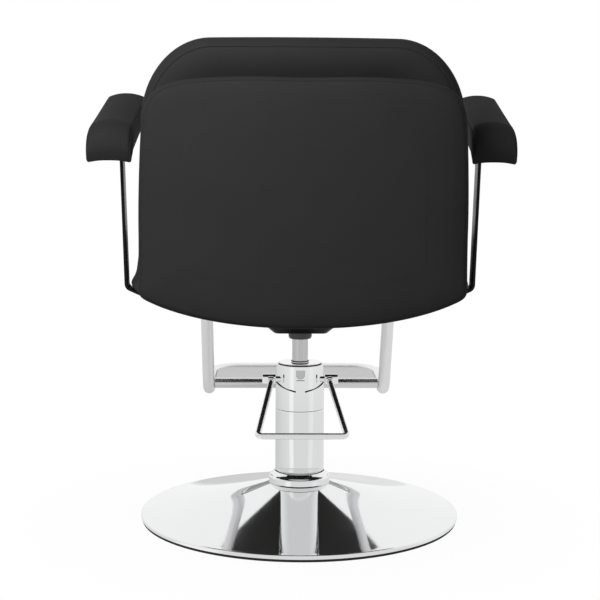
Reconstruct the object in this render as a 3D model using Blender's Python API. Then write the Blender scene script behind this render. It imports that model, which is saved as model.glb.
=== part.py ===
"""Hairdressing chair: an upholstered armchair on a foot-pumped lifting column and a round base.

Lengths are in metres. +Z is up, the sitter faces -Y, and the column stands on the Z axis.
"""

import math

import bmesh
import bpy
from mathutils import Matrix, Vector
from mathutils.geometry import interpolate_bezier

# Fits
TOUCH = 0.0003  # gap between two pieces that rest on each other
RUN = 0.0005  # radial clearance of a turning or sliding fit
LAYER = 0.0012  # gap between two curved layers of the back

# Facets of a full turn
FACETS_DISH = 48
FACETS_COLUMN = 32
FACETS_SMALL = 16

# Round base
BASE_RADIUS = 0.300
RUBBER_HEIGHT = 0.0045
RUBBER_WIDTH = 0.022
RUBBER_SETBACK = 0.002
LIP_HEIGHT = 0.0075
HEM_WIDTH = 0.010
DISH_RISE = 0.056
DISH_WALL = 0.0025
DISH_RINGS = 6
DISH_HOLLOW = 0.25  # share of the rise that is curved, the rest is a straight cone
BALLAST_GAP = 0.021  # from the rubber ring
BALLAST_HEIGHT = 0.008

# Column
COLUMN_RADIUS = 0.046
COLUMN_WALL = 0.002
COVER_HEIGHT = 0.1405
HEAD_HEIGHT = 0.085
SEAM_GAP = 0.0006
COLLAR_OVERHANG = 0.012
COLLAR_BAND = 0.0115
COLLAR_SHOULDER = 0.009
CAP_RIM = 0.0035
CAP_THICKNESS = 0.0030
NOTCH_WIDTH = 0.0165
NOTCH_DEPTH = 0.0170
SLEEVE_GAUGE = 0.0012
SLEEVE_REAR = 0.0361  # height of the sleeve's edge beside the tongue
SLEEVE_SIDE = 0.0481  # and towards the shaft
SLEEVE_FRONT = 0.0489
TONGUE_RISE = 0.0586

# Pump inside the column
PUMP_AIR = 0.004
FLANGE_OVERHANG = 0.022
FLANGE_HEIGHT = 0.010
BODY_RISE = 0.029
BORE_WALL = 0.005  # from the rod's side to the bore's side
BUSH_HEIGHT = 0.030
ROD_RADIUS = 0.015
ROD_SHOWN = 0.0494
STROKE_DOWN = 0.035
STROKE_UP = 0.105
PISTON_HEIGHT = 0.018
SEAL_HEIGHT = 0.005
WIPER_WALL = 0.0022

# Pedal
SHAFT_RADIUS = 0.005
SHAFT_HALF = 0.071
SHAFT_RISE = 0.029
BLOCK_HEIGHT = 0.018
BLOCK_DEPTH = 0.017
PEDAL_ROD_RADIUS = 0.0055
PEDAL_HALF_TOP = 0.0548
PEDAL_SINK = 0.002  # rods below the shaft's axis
PEDAL_HALF_BAR = 0.0785
PEDAL_REACH = 0.205
PEDAL_DROP = 0.0675
PEDAL_BENDS = (0.016, 0.008)  # behind the block, then at the bar
CAM_REACH = 0.014
CAM_THICKNESS = 0.006
PLUNGER_RADIUS = 0.0042
PLUNGER_DEPTH = 0.035
PLUNGER_HEAD = 0.0025
SPRING_WIRE = 0.0005
SPRING_TURNS = 5

# Swivel and seat plate
HUB_RADIUS = 0.022
HUB_NECK = 0.020
HUB_DROP = 0.0147
HUB_CROWN = 0.003
WASHER_HEIGHT = 0.002
PLATE_DEPTH = 0.0525
PLATE_GAUGE = 0.003
PLATE_CHAMFER = 0.013
PLATE_BOTTOM = (0.0485, 0.044)  # half widths in X and Y
PLATE_WALL = (0.0625, 0.058)
PLATE_FLANGE = (0.102, 0.094)

# Seat
BOARD_HEIGHT = 0.015
BOARD_INSET = 0.0585  # from the seat's side
BOARD_FRONT = -0.335
BOARD_REAR = 0.120
BOARD_CORNER = 0.05
BOARD_REAR_CORNER = 0.12
SEAT_HALF = 0.3205
SEAT_FRONT = -0.380
SEAT_CLEAR = 0.005  # from the seat's rear to the back's board
SEAT_HEIGHT = 0.115

# Back, as a curved sandwich that leans to the rear
BACK_Y = 0.205
BACK_Z = 0.3922
BACK_LEAN = math.radians(7.0)
BACK_CURVE = 1.2
PANEL_HALF = 0.2851
PANEL_HEIGHT = 0.4265
PANEL_THICKNESS = 0.043
BACK_BOARD_THICKNESS = 0.0115
BACK_BOARD_SHARE = 0.90
CUSHION_HALF = 0.281
CUSHION_FOOT = 0.157
CUSHION_TOP = 0.4885
CUSHION_CORNER = 0.127
CUSHION_FOOT_CORNER = 0.045
CUSHION_THICKNESS = 0.092

# Flat bars of the back and the arms
BAR_WIDTH = 0.040
BAR_THICKNESS = 0.006
BAR_BEND = 0.012
BACK_BAR_X = 0.130
BACK_BAR_START = 0.050
BACK_BAR_TOP = 0.240
ARM_BAR_Y = -0.030
ARM_FOOT = 0.0706  # length under the board
ARM_LEG = 0.0602  # run of the sloping leg
ARM_CLEAR = 0.0103  # from the seat's side to the knee
ARM_RISE = 0.0263  # of the knee above the foot
ARM_LEAN = 0.030

# Arm pads, swept along an arc that crests over the seat
ARM_OUT = 0.0152  # from the knee to the pad's middle
ARM_HALF = 0.042
ARM_ARC = 0.580
ARM_CREST_Y = -0.211
ARM_CREST_Z = 0.8005
ARM_REAR_ANGLE = math.radians(29.5)
ARM_FRONT_ANGLE = math.radians(-4.0)
ARM_THICKNESS = 0.045
ARM_ROLL = 0.034  # over which the top rolls down at both ends
ARM_STATIONS = 8
ARM_BOARD_HALF = 0.025
ARM_BOARD_THICKNESS = 0.004

# Footrest
FOOT_TUBE = 0.0125
FOOT_HALF = 0.186
FOOT_TOP_Y = -0.2175
FOOT_STUB = 0.025  # straight end under the flange
FOOT_SLANT = 0.504
FOOT_Z = 0.192
FOOT_FRONT = -0.550
FOOT_BEND = 0.050
FOOT_STEPS = 6  # facets of a bend
FOOT_CORNER = 0.060
FOOT_BAR = 0.011
FOOT_PLATE = 0.002
FOOT_PLATE_RISE = 0.0045
FOOT_FLANGE = (0.040, 0.022, 0.004)

# Fasteners
BOLT_SHANK = 0.004
BOLT_PLAY = 0.0007
BOLT_HEAD = 0.0075
BOLT_HEAD_HEIGHT = 0.0053

# Heights that follow from the sizes above
z_lip = RUBBER_HEIGHT + TOUCH
z_rim = z_lip + LIP_HEIGHT
z_collar = z_rim + DISH_RISE
z_seam = z_collar + COVER_HEIGHT
z_head = z_seam + SEAM_GAP
z_top = z_head + HEAD_HEIGHT
z_flange = BALLAST_HEIGHT + TOUCH
z_cover = z_flange + FLANGE_HEIGHT + TOUCH
z_body = z_head + BODY_RISE
z_shaft = z_body + SHAFT_RISE
z_hub = z_top + ROD_SHOWN
z_plate = z_hub + HUB_DROP
z_board = z_plate + PLATE_DEPTH + TOUCH
z_cushion = z_board + BOARD_HEIGHT + TOUCH
z_bar = z_board - TOUCH - BAR_THICKNESS / 2

# Radii and offsets that follow from the sizes above
rubber_outer = BASE_RADIUS - RUBBER_SETBACK
rubber_inner = rubber_outer - RUBBER_WIDTH
ballast_radius = rubber_inner - BALLAST_GAP
cover_inner = COLUMN_RADIUS - COLUMN_WALL
body_radius = cover_inner - PUMP_AIR
flange_radius = COLUMN_RADIUS + FLANGE_OVERHANG
bolt_circle = (COLUMN_RADIUS + flange_radius) / 2
bore_radius = ROD_RADIUS + BORE_WALL
collar_radius = COLUMN_RADIUS + COLLAR_OVERHANG
shaft_y = ROD_RADIUS + 0.0015 + SHAFT_RADIUS
cam_root = shaft_y + SHAFT_RADIUS + TOUCH
plunger_y = shaft_y + CAM_REACH - 0.003
board_rear = -(LAYER + BAR_THICKNESS + 2 * TOUCH)  # rearwards in the back, from the panel's front
board_front = board_rear - BACK_BOARD_THICKNESS
seat_rear = BACK_Y + board_front - SEAT_CLEAR
seat_depth = seat_rear - SEAT_FRONT
board_half = SEAT_HALF - BOARD_INSET
knee_x = SEAT_HALF + ARM_CLEAR
arm_foot_outer = knee_x - ARM_LEG
arm_foot_inner = arm_foot_outer - ARM_FOOT
arm_x = knee_x + ARM_OUT
bore_floor = z_flange + 0.012
piston_z = bore_floor + STROKE_DOWN + 0.004


def finish(name, colour, roughness, metallic=0.0):
    material = bpy.data.materials.new(name)
    material.use_nodes = True
    shader = material.node_tree.nodes["Principled BSDF"]
    shader.inputs["Base Color"].default_value = (*colour, 1.0)
    shader.inputs["Roughness"].default_value = roughness
    shader.inputs["Metallic"].default_value = metallic
    return material


def add(name, data, material):
    data.materials.clear()
    data.materials.append(material)
    obj = bpy.data.objects.new(name, data)
    bpy.context.scene.collection.objects.link(obj)
    return obj


def from_bmesh(name, bm, material):
    bmesh.ops.remove_doubles(bm, verts=bm.verts, dist=1e-6)
    bmesh.ops.recalc_face_normals(bm, faces=bm.faces)
    mesh = bpy.data.meshes.new(name)
    bm.to_mesh(mesh)
    bm.free()
    return add(name, mesh, material)


def turned(name, profile, material, facets=FACETS_COLUMN):
    """A solid of revolution about Z from (radius, height) points; it closes on the axis or on itself."""
    bm = bmesh.new()
    points = [bm.verts.new((r, 0.0, z)) for r, z in profile]
    edges = [bm.edges.new(pair) for pair in zip(points, points[1:])]
    if profile[0][0] > 0.0:
        edges.append(bm.edges.new((points[-1], points[0])))
    turn = {"axis": (0, 0, 1), "cent": (0, 0, 0), "angle": 2 * math.pi, "steps": facets, "use_merge": True}
    bmesh.ops.spin(bm, geom=points + edges, **turn)
    return from_bmesh(name, bm, material)


def stacked(name, rings, material, ends="capped"):
    """Skins rings of equal length in order. Ends are capped with a face or a pole, or joined."""
    bm = bmesh.new()
    made = [[bm.verts.new(point) for point in ring] for ring in rings]
    pairs = list(zip(made, made[1:]))
    if ends == "joined":
        pairs.append((made[-1], made[0]))
    for low, high in pairs:
        if len(low) == 1 or len(high) == 1:
            pole, ring = (low, high) if len(low) == 1 else (high, low)
            for a, b in zip(ring, ring[1:] + ring[:1]):
                bm.faces.new((pole[0], a, b))
        else:
            for i, a in enumerate(low):
                j = (i + 1) % len(low)
                bm.faces.new((a, low[j], high[j], high[i]))
    if ends == "capped":
        for ring in (made[0], made[-1]):
            if len(ring) > 1:
                bm.faces.new(ring)
    return from_bmesh(name, bm, material)


def rounded_path(points, bends, steps=6):
    """A polyline through the points with an arc of the given radius at each inner corner."""
    points = [Vector(p) for p in points]
    path = [points[0]]
    for before, corner, after, radius in zip(points, points[1:], points[2:], bends):
        to_before = (before - corner).normalized()
        to_after = (after - corner).normalized()
        half = to_before.angle(to_after) / 2
        centre = corner + (to_before + to_after).normalized() * (radius / math.sin(half))
        start = corner + to_before * (radius / math.tan(half)) - centre
        end = corner + to_after * (radius / math.tan(half)) - centre
        sweep = start.angle(end)
        for i in range(steps + 1):
            share = i / steps
            blend = start * math.sin((1 - share) * sweep) + end * math.sin(share * sweep)
            path.append(centre + blend / math.sin(sweep))
    path.append(points[-1])
    return path


def tube(name, path, radius, material, resolution=4):
    curve = bpy.data.curves.new(name, "CURVE")
    curve.dimensions = "3D"
    curve.bevel_depth = radius
    curve.bevel_resolution = resolution
    curve.use_fill_caps = True
    spline = curve.splines.new("POLY")
    spline.points.add(len(path) - 1)
    for point, place in zip(spline.points, path):
        point.co = (*place, 1.0)
    return add(name, curve, material)


def bar_sides(path, thickness):
    """The closed outline of a strip of this thickness along a flat path of 2-D points."""
    left, right = [], []
    for i, point in enumerate(path):
        ahead = path[min(i + 1, len(path) - 1)] - path[max(i - 1, 0)]
        normal = Vector((-ahead[1], ahead[0])).normalized() * (thickness / 2)
        left.append(point + normal)
        right.append(point - normal)
    return left + right[::-1]


def extruded(name, outline, place, low, high, material):
    """Extrudes a closed 2-D outline from low to high; place(a, b, height) gives the point in space."""
    rings = [[place(a, b, level) for a, b in outline] for level in (low, high)]
    return stacked(name, rings, material)


def rounded_rectangle(half_x, half_y, corner, steps=5, rear_corner=None):
    """An outline with four round corners; the two at the rear may be rounder than those in front."""
    rear = rear_corner or corner
    outline = []
    corners = ((1, 1, rear, 0), (-1, 1, rear, 90), (-1, -1, corner, 180), (1, -1, corner, 270))
    for sx, sy, radius, start in corners:
        for i in range(steps + 1):
            angle = math.radians(start + 90 * i / steps)
            x = sx * (half_x - radius) + radius * math.cos(angle)
            y = sy * (half_y - radius) + radius * math.sin(angle)
            outline.append((x, y))
    return outline


def mirrored_outline(knots, steps):
    """A closed outline, mirrored in its first coordinate, from knots (a, b, direction, handle)."""
    half = []
    for start, end in zip(knots, knots[1:]):
        spots, handles = [], []
        for (a, b, direction, handle), sign in ((start, 1), (end, -1)):
            turn = math.radians(direction)
            spots.append(Vector((a, b)))
            handles.append(Vector((a, b)) + Vector((math.cos(turn), math.sin(turn))) * handle * sign)
        samples = interpolate_bezier(spots[0], *handles, spots[1], steps + 1)
        half += [(p.x, p.y) for p in samples[:-1]]
    half.append(knots[-1][:2])
    return half + [(-a, b) for a, b in half[-2:0:-1]]


def inset(outline, amount):
    """The outline drawn in by about this amount on every side."""
    centre_b = (min(b for _, b in outline) + max(b for _, b in outline)) / 2
    half_a = max(a for a, _ in outline)
    half_b = max(b for _, b in outline) - centre_b
    share_a = 1 - amount / half_a
    share_b = 1 - amount / half_b
    return [(a * share_a, centre_b + (b - centre_b) * share_b) for a, b in outline]


def cut(target, cutter, operation="DIFFERENCE"):
    cutter.hide_render = True
    cutter.display_type = "WIRE"
    modifier = target.modifiers.new(cutter.name, "BOOLEAN")
    modifier.operation = operation
    modifier.solver = "EXACT"
    modifier.object = cutter


def round_bar(bm, radius, length, middle, facets=8):
    place = Matrix.Translation(middle)
    sizes = {"radius1": radius, "radius2": radius, "depth": length, "segments": facets}
    bmesh.ops.create_cone(bm, cap_ends=True, matrix=place, **sizes)


def drill(target, centres, radius, low, high, facets=8):
    """Round holes along Z through the target at these (x, y) centres."""
    bm = bmesh.new()
    for x, y in centres:
        round_bar(bm, radius, high - low, (x, y, (low + high) / 2), facets)
    cut(target, from_bmesh(f"{target.name}_drill", bm, dark_steel))


def bolt(name, x, y, z, length):
    """A hexagon bolt; its shank goes up when length is positive, and z is the plane under the head."""
    side = 1 if length > 0 else -1
    head, shank = [], []
    for i in range(12):
        angle = math.radians(30 * i)
        reach = BOLT_HEAD * (1.0 if i % 2 == 0 else math.cos(math.radians(30)))
        head.append((x + reach * math.cos(angle), y + reach * math.sin(angle)))
        shank.append((x + BOLT_SHANK * math.cos(angle), y + BOLT_SHANK * math.sin(angle)))
    levels = ((head, z - side * BOLT_HEAD_HEIGHT), (head, z), (shank, z), (shank, z + length))
    return stacked(name, [[(a, b, level) for a, b in ring] for ring, level in levels], zinc)


def sag(x):
    return BACK_CURVE - math.sqrt(BACK_CURVE**2 - x**2)


def back_point(u, v, w):
    """Across, up and rearwards in the leaning back, which curves forward towards its sides."""
    y = BACK_Y + v * math.sin(BACK_LEAN) + w * math.cos(BACK_LEAN) - sag(u)
    return (u, y, BACK_Z + v * math.cos(BACK_LEAN) - w * math.sin(BACK_LEAN))


def back_layer(name, outline, levels, material):
    """A pad or board of the back; levels are (inset, w) from front to rear, with a pole at both ends."""
    centre_v = (min(v for _, v in outline) + max(v for _, v in outline)) / 2
    flat = [(inset(outline, amount), w) for amount, w in levels[1:-1]]
    for end, (_, pole_w) in ((0, levels[0]), (len(flat), levels[-1])):
        ring, w = flat[min(end, len(flat) - 1)]
        halfway = [(u / 2, (v + centre_v) / 2) for u, v in ring]
        flat.insert(end + (end > 0), (halfway, (w + pole_w) / 2))
    rings = [[back_point(u, v, w) for u, v in ring] for ring, w in flat]
    rings.insert(0, [back_point(0.0, centre_v, levels[0][1])])
    rings.append([back_point(0.0, centre_v, levels[-1][1])])
    return stacked(name, rings, material)


def arm_point(x, radius, angle):
    y = ARM_CREST_Y + radius * math.sin(angle)
    return (x, y, ARM_CREST_Z - ARM_ARC + radius * math.cos(angle))


for old in list(bpy.data.objects):
    bpy.data.objects.remove(old)

chrome = finish("chrome", (0.80, 0.81, 0.82), 0.06, 1.0)
vinyl = finish("black_vinyl", (0.022, 0.022, 0.024), 0.45)
black_paint = finish("black_paint", (0.012, 0.012, 0.013), 0.22)
dark_steel = finish("dark_steel", (0.10, 0.10, 0.105), 0.40, 1.0)
zinc = finish("zinc_plate", (0.55, 0.56, 0.57), 0.35, 1.0)
cast_iron = finish("cast_iron", (0.16, 0.16, 0.165), 0.60, 1.0)
bronze = finish("bronze", (0.48, 0.31, 0.13), 0.35, 1.0)
rubber = finish("black_rubber", (0.015, 0.015, 0.015), 0.75)
plywood = finish("plywood", (0.020, 0.018, 0.017), 0.65)

# Round base: rubber edge, ballast plate and a hemmed dish
turned(
    "base_rubber",
    [
        (rubber_inner, 0.0),
        (rubber_outer, 0.0),
        (rubber_outer, RUBBER_HEIGHT),
        (rubber_inner, RUBBER_HEIGHT),
    ],
    rubber,
    FACETS_DISH,
)

base_bolts = []
for i in range(3):
    angle = math.radians(90 + 120 * i)
    base_bolts.append((bolt_circle * math.cos(angle), bolt_circle * math.sin(angle)))
ballast = turned(
    "ballast_plate",
    [(0.0, 0.0), (ballast_radius, 0.0), (ballast_radius, BALLAST_HEIGHT), (0.0, BALLAST_HEIGHT)],
    cast_iron,
    FACETS_DISH,
)
drill(ballast, base_bolts, BOLT_SHANK + BOLT_PLAY, BALLAST_HEIGHT / 3, BALLAST_HEIGHT + 0.01)


def dish_surface(drop):
    """The cone from the rim to the collar's seat, lowered by drop."""
    outer = BASE_RADIUS - 0.0035
    inner = collar_radius - 0.003
    line = []
    for i in range(DISH_RINGS + 1):
        t = i / DISH_RINGS
        rise = (DISH_RISE - TOUCH) * ((1 - DISH_HOLLOW) * t + DISH_HOLLOW * t * t)
        line.append((outer + (inner - outer) * t, z_rim + rise - drop))
    return line


dish_top = dish_surface(0.0)
dish_under = dish_surface(DISH_WALL)
dish_hole = COLUMN_RADIUS + 0.0015
turned(
    "base_dish",
    [
        (BASE_RADIUS - HEM_WIDTH, z_lip),
        (BASE_RADIUS - 0.0015, z_lip),
        (BASE_RADIUS, z_lip + 0.0015),
        (BASE_RADIUS, z_rim - 0.0040),
        (BASE_RADIUS - 0.0010, z_rim - 0.0015),
        *dish_top,
        (dish_hole, z_collar - TOUCH),
        (dish_hole, z_collar - TOUCH - DISH_WALL),
        *dish_under[::-1],
        (BASE_RADIUS - DISH_WALL - 0.0010, z_rim - 0.0035),
        (BASE_RADIUS - DISH_WALL - 0.0010, z_lip + DISH_WALL),
        (BASE_RADIUS - HEM_WIDTH, z_lip + DISH_WALL),
    ],
    chrome,
    FACETS_DISH,
)

# Column covers, from the collar up
collar_bore = COLUMN_RADIUS + TOUCH
turned(
    "base_collar",
    [
        (collar_bore, z_collar),
        (collar_radius - 0.0010, z_collar),
        (collar_radius, z_collar + 0.0012),
        (collar_radius, z_collar + COLLAR_BAND - 0.0015),
        (collar_radius - 0.0012, z_collar + COLLAR_BAND),
        (collar_radius - 0.0060, z_collar + COLLAR_BAND + 0.40 * COLLAR_SHOULDER),
        (collar_bore + 0.0015, z_collar + COLLAR_BAND + COLLAR_SHOULDER),
        (collar_bore, z_collar + COLLAR_BAND + COLLAR_SHOULDER),
    ],
    chrome,
)
turned(
    "pump_cover",
    [(cover_inner, z_cover), (COLUMN_RADIUS, z_cover), (COLUMN_RADIUS, z_seam), (cover_inner, z_seam)],
    chrome,
)

head_outer = COLUMN_RADIUS - SLEEVE_GAUGE - TOUCH
head_inner = head_outer - COLUMN_WALL
cap_radius = head_outer - CAP_RIM
ledge_radius = cap_radius - 0.003
z_ledge = z_top - 0.0010 - CAP_THICKNESS - TOUCH
head_cover = turned(
    "head_cover",
    [
        (head_inner, z_head),
        (head_outer, z_head),
        (head_outer, z_top - 0.0030),
        (head_outer - 0.0009, z_top - 0.0010),
        (head_outer - 0.0024, z_top),
        (cap_radius, z_top - 0.0004),
        (cap_radius, z_ledge),
        (ledge_radius, z_ledge),
        (ledge_radius, z_ledge - 0.002),
        (head_inner, z_ledge - 0.002),
    ],
    chrome,
)
wiper_radius = ROD_RADIUS + TOUCH + WIPER_WALL
turned(
    "head_cap",
    [
        (wiper_radius + TOUCH, z_ledge + TOUCH),
        (cap_radius - TOUCH, z_ledge + TOUCH),
        (cap_radius - TOUCH, z_top - 0.0010),
        (wiper_radius + TOUCH, z_top + 0.0035),
    ],
    chrome,
)
turned(
    "rod_wiper",
    [
        (ROD_RADIUS + TOUCH, z_top - 0.0045),
        (wiper_radius, z_top - 0.0045),
        (wiper_radius, z_top + 0.0042),
        (wiper_radius - 0.0008, z_top + 0.0050),
        (ROD_RADIUS + TOUCH, z_top + 0.0050),
    ],
    rubber,
)

# Notch at the rear of the head, side holes for the pedal shaft, and the sleeve with its tongue
notch_top = z_ledge - 0.0030
notch_foot = notch_top - NOTCH_DEPTH
notch_half = NOTCH_WIDTH / 2
notch = [(notch_half, notch_top), (-notch_half, notch_top)]
for i in range(9):
    angle = math.radians(180 + 180 * i / 8)
    notch.append((notch_half * math.cos(angle), notch_foot + notch_half * (1 + math.sin(angle))))
notch_cutter = extruded(
    "notch_cutter", notch, lambda a, b, y: (a, y, b), cover_inner * 0.8, COLUMN_RADIUS * 1.2, dark_steel
)
cut(head_cover, notch_cutter)
hole_ring = []
for i in range(FACETS_SMALL):
    angle = 2 * math.pi * i / FACETS_SMALL
    hole_ring.append((math.cos(angle), math.sin(angle)))
shaft_hole = [((SHAFT_RADIUS + 0.0012) * a, (SHAFT_RADIUS + 0.0012) * b) for a, b in hole_ring]
shaft_cutter = extruded(
    "shaft_cutter",
    shaft_hole,
    lambda a, b, x: (x, shaft_y + a, z_shaft + b),
    -COLUMN_RADIUS * 1.2,
    COLUMN_RADIUS * 1.2,
    dark_steel,
)
cut(head_cover, shaft_cutter)

sleeve_edge = [(0, TONGUE_RISE), (6, TONGUE_RISE), (9.2, TONGUE_RISE - 0.0008), (10.2, TONGUE_RISE - 0.003)]
sleeve_edge += [(10.6, SLEEVE_REAR + 0.002), (11.25, SLEEVE_REAR)]
for i in range(2, 17):
    degrees = 11.25 * i
    share = min(1.0, (degrees - 11.25) / 60)
    front = max(0.0, (degrees - 71.25) / 108.75)
    rise = SLEEVE_REAR + (SLEEVE_SIDE - SLEEVE_REAR) * share + (SLEEVE_FRONT - SLEEVE_SIDE) * front
    sleeve_edge.append((degrees, rise))
sleeve_edge += [(-degrees, rise) for degrees, rise in sleeve_edge[-2:0:-1]]
sleeve_rings = []
for degrees, rise in sleeve_edge:
    angle = math.radians(90 + degrees)
    ring = []
    for radius, level in (
        (COLUMN_RADIUS - SLEEVE_GAUGE, 0.0),
        (COLUMN_RADIUS, 0.0),
        (COLUMN_RADIUS, rise),
        (COLUMN_RADIUS - SLEEVE_GAUGE, rise),
    ):
        ring.append((radius * math.cos(angle), radius * math.sin(angle), z_head + level))
    sleeve_rings.append(ring)
stacked("head_sleeve", sleeve_rings, chrome, ends="joined")

# Pump body with its cylinder bore, bearing ears for the shaft and a bore for the plunger
pump_body = turned(
    "pump_body",
    [
        (0.0, z_flange),
        (flange_radius, z_flange),
        (flange_radius, z_flange + FLANGE_HEIGHT),
        (body_radius, z_flange + FLANGE_HEIGHT),
        (body_radius, z_body),
        (bore_radius, z_body),
        (bore_radius, bore_floor),
        (0.0, bore_floor),
    ],
    cast_iron,
)
ear_outer = body_radius * 0.775
ear_inner = ear_outer - 0.010
ear_half = SHAFT_RADIUS + 0.002
ear_outline = [
    (shaft_y - ear_half, z_body - 0.003),
    (shaft_y + ear_half, z_body - 0.003),
    (shaft_y + ear_half, z_shaft + ear_half),
    (shaft_y - ear_half, z_shaft + ear_half),
]
for side, low, high in (("left", ear_inner, ear_outer), ("right", -ear_outer, -ear_inner)):
    ear = extruded(f"ear_{side}", ear_outline, lambda a, b, x: (x, a, b), low, high, cast_iron)
    cut(pump_body, ear, "UNION")
bearing_ring = [((SHAFT_RADIUS + RUN) * a, (SHAFT_RADIUS + RUN) * b) for a, b in hole_ring]
bearing_cutter = extruded(
    "bearing_cutter",
    bearing_ring,
    lambda a, b, x: (x, shaft_y + a, z_shaft + b),
    -ear_outer * 1.2,
    ear_outer * 1.2,
    dark_steel,
)
cut(pump_body, bearing_cutter)
drill(pump_body, [(0.0, plunger_y)], PLUNGER_RADIUS + RUN, z_body - PLUNGER_DEPTH - 0.010, z_body + 0.01)
drill_flange = bmesh.new()
for x, y in base_bolts:
    round_bar(drill_flange, BOLT_SHANK + BOLT_PLAY, 4 * FLANGE_HEIGHT, (x, y, z_flange + FLANGE_HEIGHT / 2))
cut(pump_body, from_bmesh("flange_drill", drill_flange, dark_steel))
for i, (x, y) in enumerate(base_bolts, 1):
    bolt(f"base_bolt_{i}", x, y, z_flange + FLANGE_HEIGHT + TOUCH, -(FLANGE_HEIGHT + BALLAST_HEIGHT / 2))
turned(
    "rod_bush",
    [
        (ROD_RADIUS + TOUCH, z_body - BUSH_HEIGHT),
        (bore_radius - TOUCH, z_body - BUSH_HEIGHT),
        (bore_radius - TOUCH, z_body),
        (ROD_RADIUS + TOUCH, z_body),
    ],
    bronze,
)

# Ram: rod, piston and its seal
hub_ceiling = z_plate + 0.022
rod_top = hub_ceiling - TOUCH - WASHER_HEIGHT - TOUCH
piston_rod = turned(
    "piston_rod",
    [
        (0.0, piston_z + PISTON_HEIGHT + TOUCH),
        (ROD_RADIUS, piston_z + PISTON_HEIGHT + TOUCH),
        (ROD_RADIUS, rod_top - 0.0015),
        (ROD_RADIUS - 0.0015, rod_top),
        (0.0, rod_top),
    ],
    chrome,
)
piston_radius = bore_radius - RUN
seal_z = piston_z + (PISTON_HEIGHT - SEAL_HEIGHT) / 2
groove_radius = piston_radius - 0.003
piston_head = turned(
    "piston_head",
    [
        (0.0, piston_z),
        (piston_radius, piston_z),
        (piston_radius, seal_z),
        (groove_radius, seal_z),
        (groove_radius, seal_z + SEAL_HEIGHT),
        (piston_radius, seal_z + SEAL_HEIGHT),
        (piston_radius, piston_z + PISTON_HEIGHT),
        (0.0, piston_z + PISTON_HEIGHT),
    ],
    dark_steel,
)
piston_seal = turned(
    "piston_seal",
    [
        (groove_radius + TOUCH, seal_z + TOUCH),
        (bore_radius - TOUCH, seal_z + TOUCH),
        (bore_radius - TOUCH, seal_z + SEAL_HEIGHT - TOUCH),
        (groove_radius + TOUCH, seal_z + SEAL_HEIGHT - TOUCH),
    ],
    rubber,
)

# Pedal: cross shaft with end blocks, rod loop, ferrules and the cam that drives the plunger
block_ring = rounded_rectangle(BLOCK_DEPTH / 2, BLOCK_HEIGHT / 2, 0.0025, 3)
round_ring = []
for i in range(16):
    corner, step = divmod(i, 4)
    angle = math.radians(90 * corner + 22.5 * step + 11.25)
    round_ring.append((SHAFT_RADIUS * math.cos(angle), SHAFT_RADIUS * math.sin(angle)))
block_start = COLUMN_RADIUS - 0.0005
shaft_levels = (
    (block_ring, -SHAFT_HALF),
    (block_ring, -block_start),
    (round_ring, -block_start),
    (round_ring, block_start),
    (block_ring, block_start),
    (block_ring, SHAFT_HALF),
)
pedal_shaft = stacked(
    "pedal_shaft",
    [[(x, shaft_y + a, z_shaft + b) for a, b in ring] for ring, x in shaft_levels],
    chrome,
)
socket_radius = PEDAL_ROD_RADIUS + TOUCH
block_rear = shaft_y + BLOCK_DEPTH / 2
z_rods = z_shaft - PEDAL_SINK
for side, x in (("left", PEDAL_HALF_TOP), ("right", -PEDAL_HALF_TOP)):
    socket = extruded(
        f"socket_{side}",
        [(socket_radius * a, socket_radius * b) for a, b in hole_ring],
        lambda a, b, y, x=x: (x + a, y, z_rods + b),
        block_rear - 0.012,
        block_rear + 0.010,
        dark_steel,
    )
    cut(pedal_shaft, socket)
rod_start = block_rear - 0.011
z_pedal = z_rods - PEDAL_DROP
pedal_corners = [
    (PEDAL_HALF_TOP, rod_start, z_rods),
    (PEDAL_HALF_TOP, block_rear + 0.024, z_rods),
    (PEDAL_HALF_BAR, PEDAL_REACH, z_pedal),
]
pedal_corners += [(-x, y, z) for x, y, z in reversed(pedal_corners)]
pedal_path = rounded_path(pedal_corners, PEDAL_BENDS + PEDAL_BENDS[::-1])
pedal_rod = tube("pedal_rod", pedal_path, PEDAL_ROD_RADIUS, chrome, resolution=3)
ferrules = []
for side, x in (("left", PEDAL_HALF_TOP), ("right", -PEDAL_HALF_TOP)):
    rings = []
    for radius, y in (
        (socket_radius, block_rear + TOUCH),
        (socket_radius + 0.0028, block_rear + TOUCH),
        (socket_radius + 0.0028, block_rear + 0.0050),
        (socket_radius + 0.0012, block_rear + 0.0064),
        (socket_radius, block_rear + 0.0064),
    ):
        rings.append([(x + radius * a, y, z_rods + radius * b) for a, b in hole_ring])
    ferrules.append(stacked(f"pedal_ferrule_{side}", rings, chrome, ends="joined"))
cam_half = CAM_THICKNESS / 2
cam_tip = shaft_y + CAM_REACH
cam_outline = [(cam_root, -cam_half), (cam_tip - 0.001, -cam_half), (cam_tip, 0.001 - cam_half)]
cam_outline += [(cam_tip, cam_half - 0.002), (cam_tip - 0.002, cam_half), (cam_root, cam_half)]
pedal_cam = extruded(
    "pedal_cam", cam_outline, lambda a, b, x: (x, a, z_shaft + b), -0.006, 0.006, dark_steel
)

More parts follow.
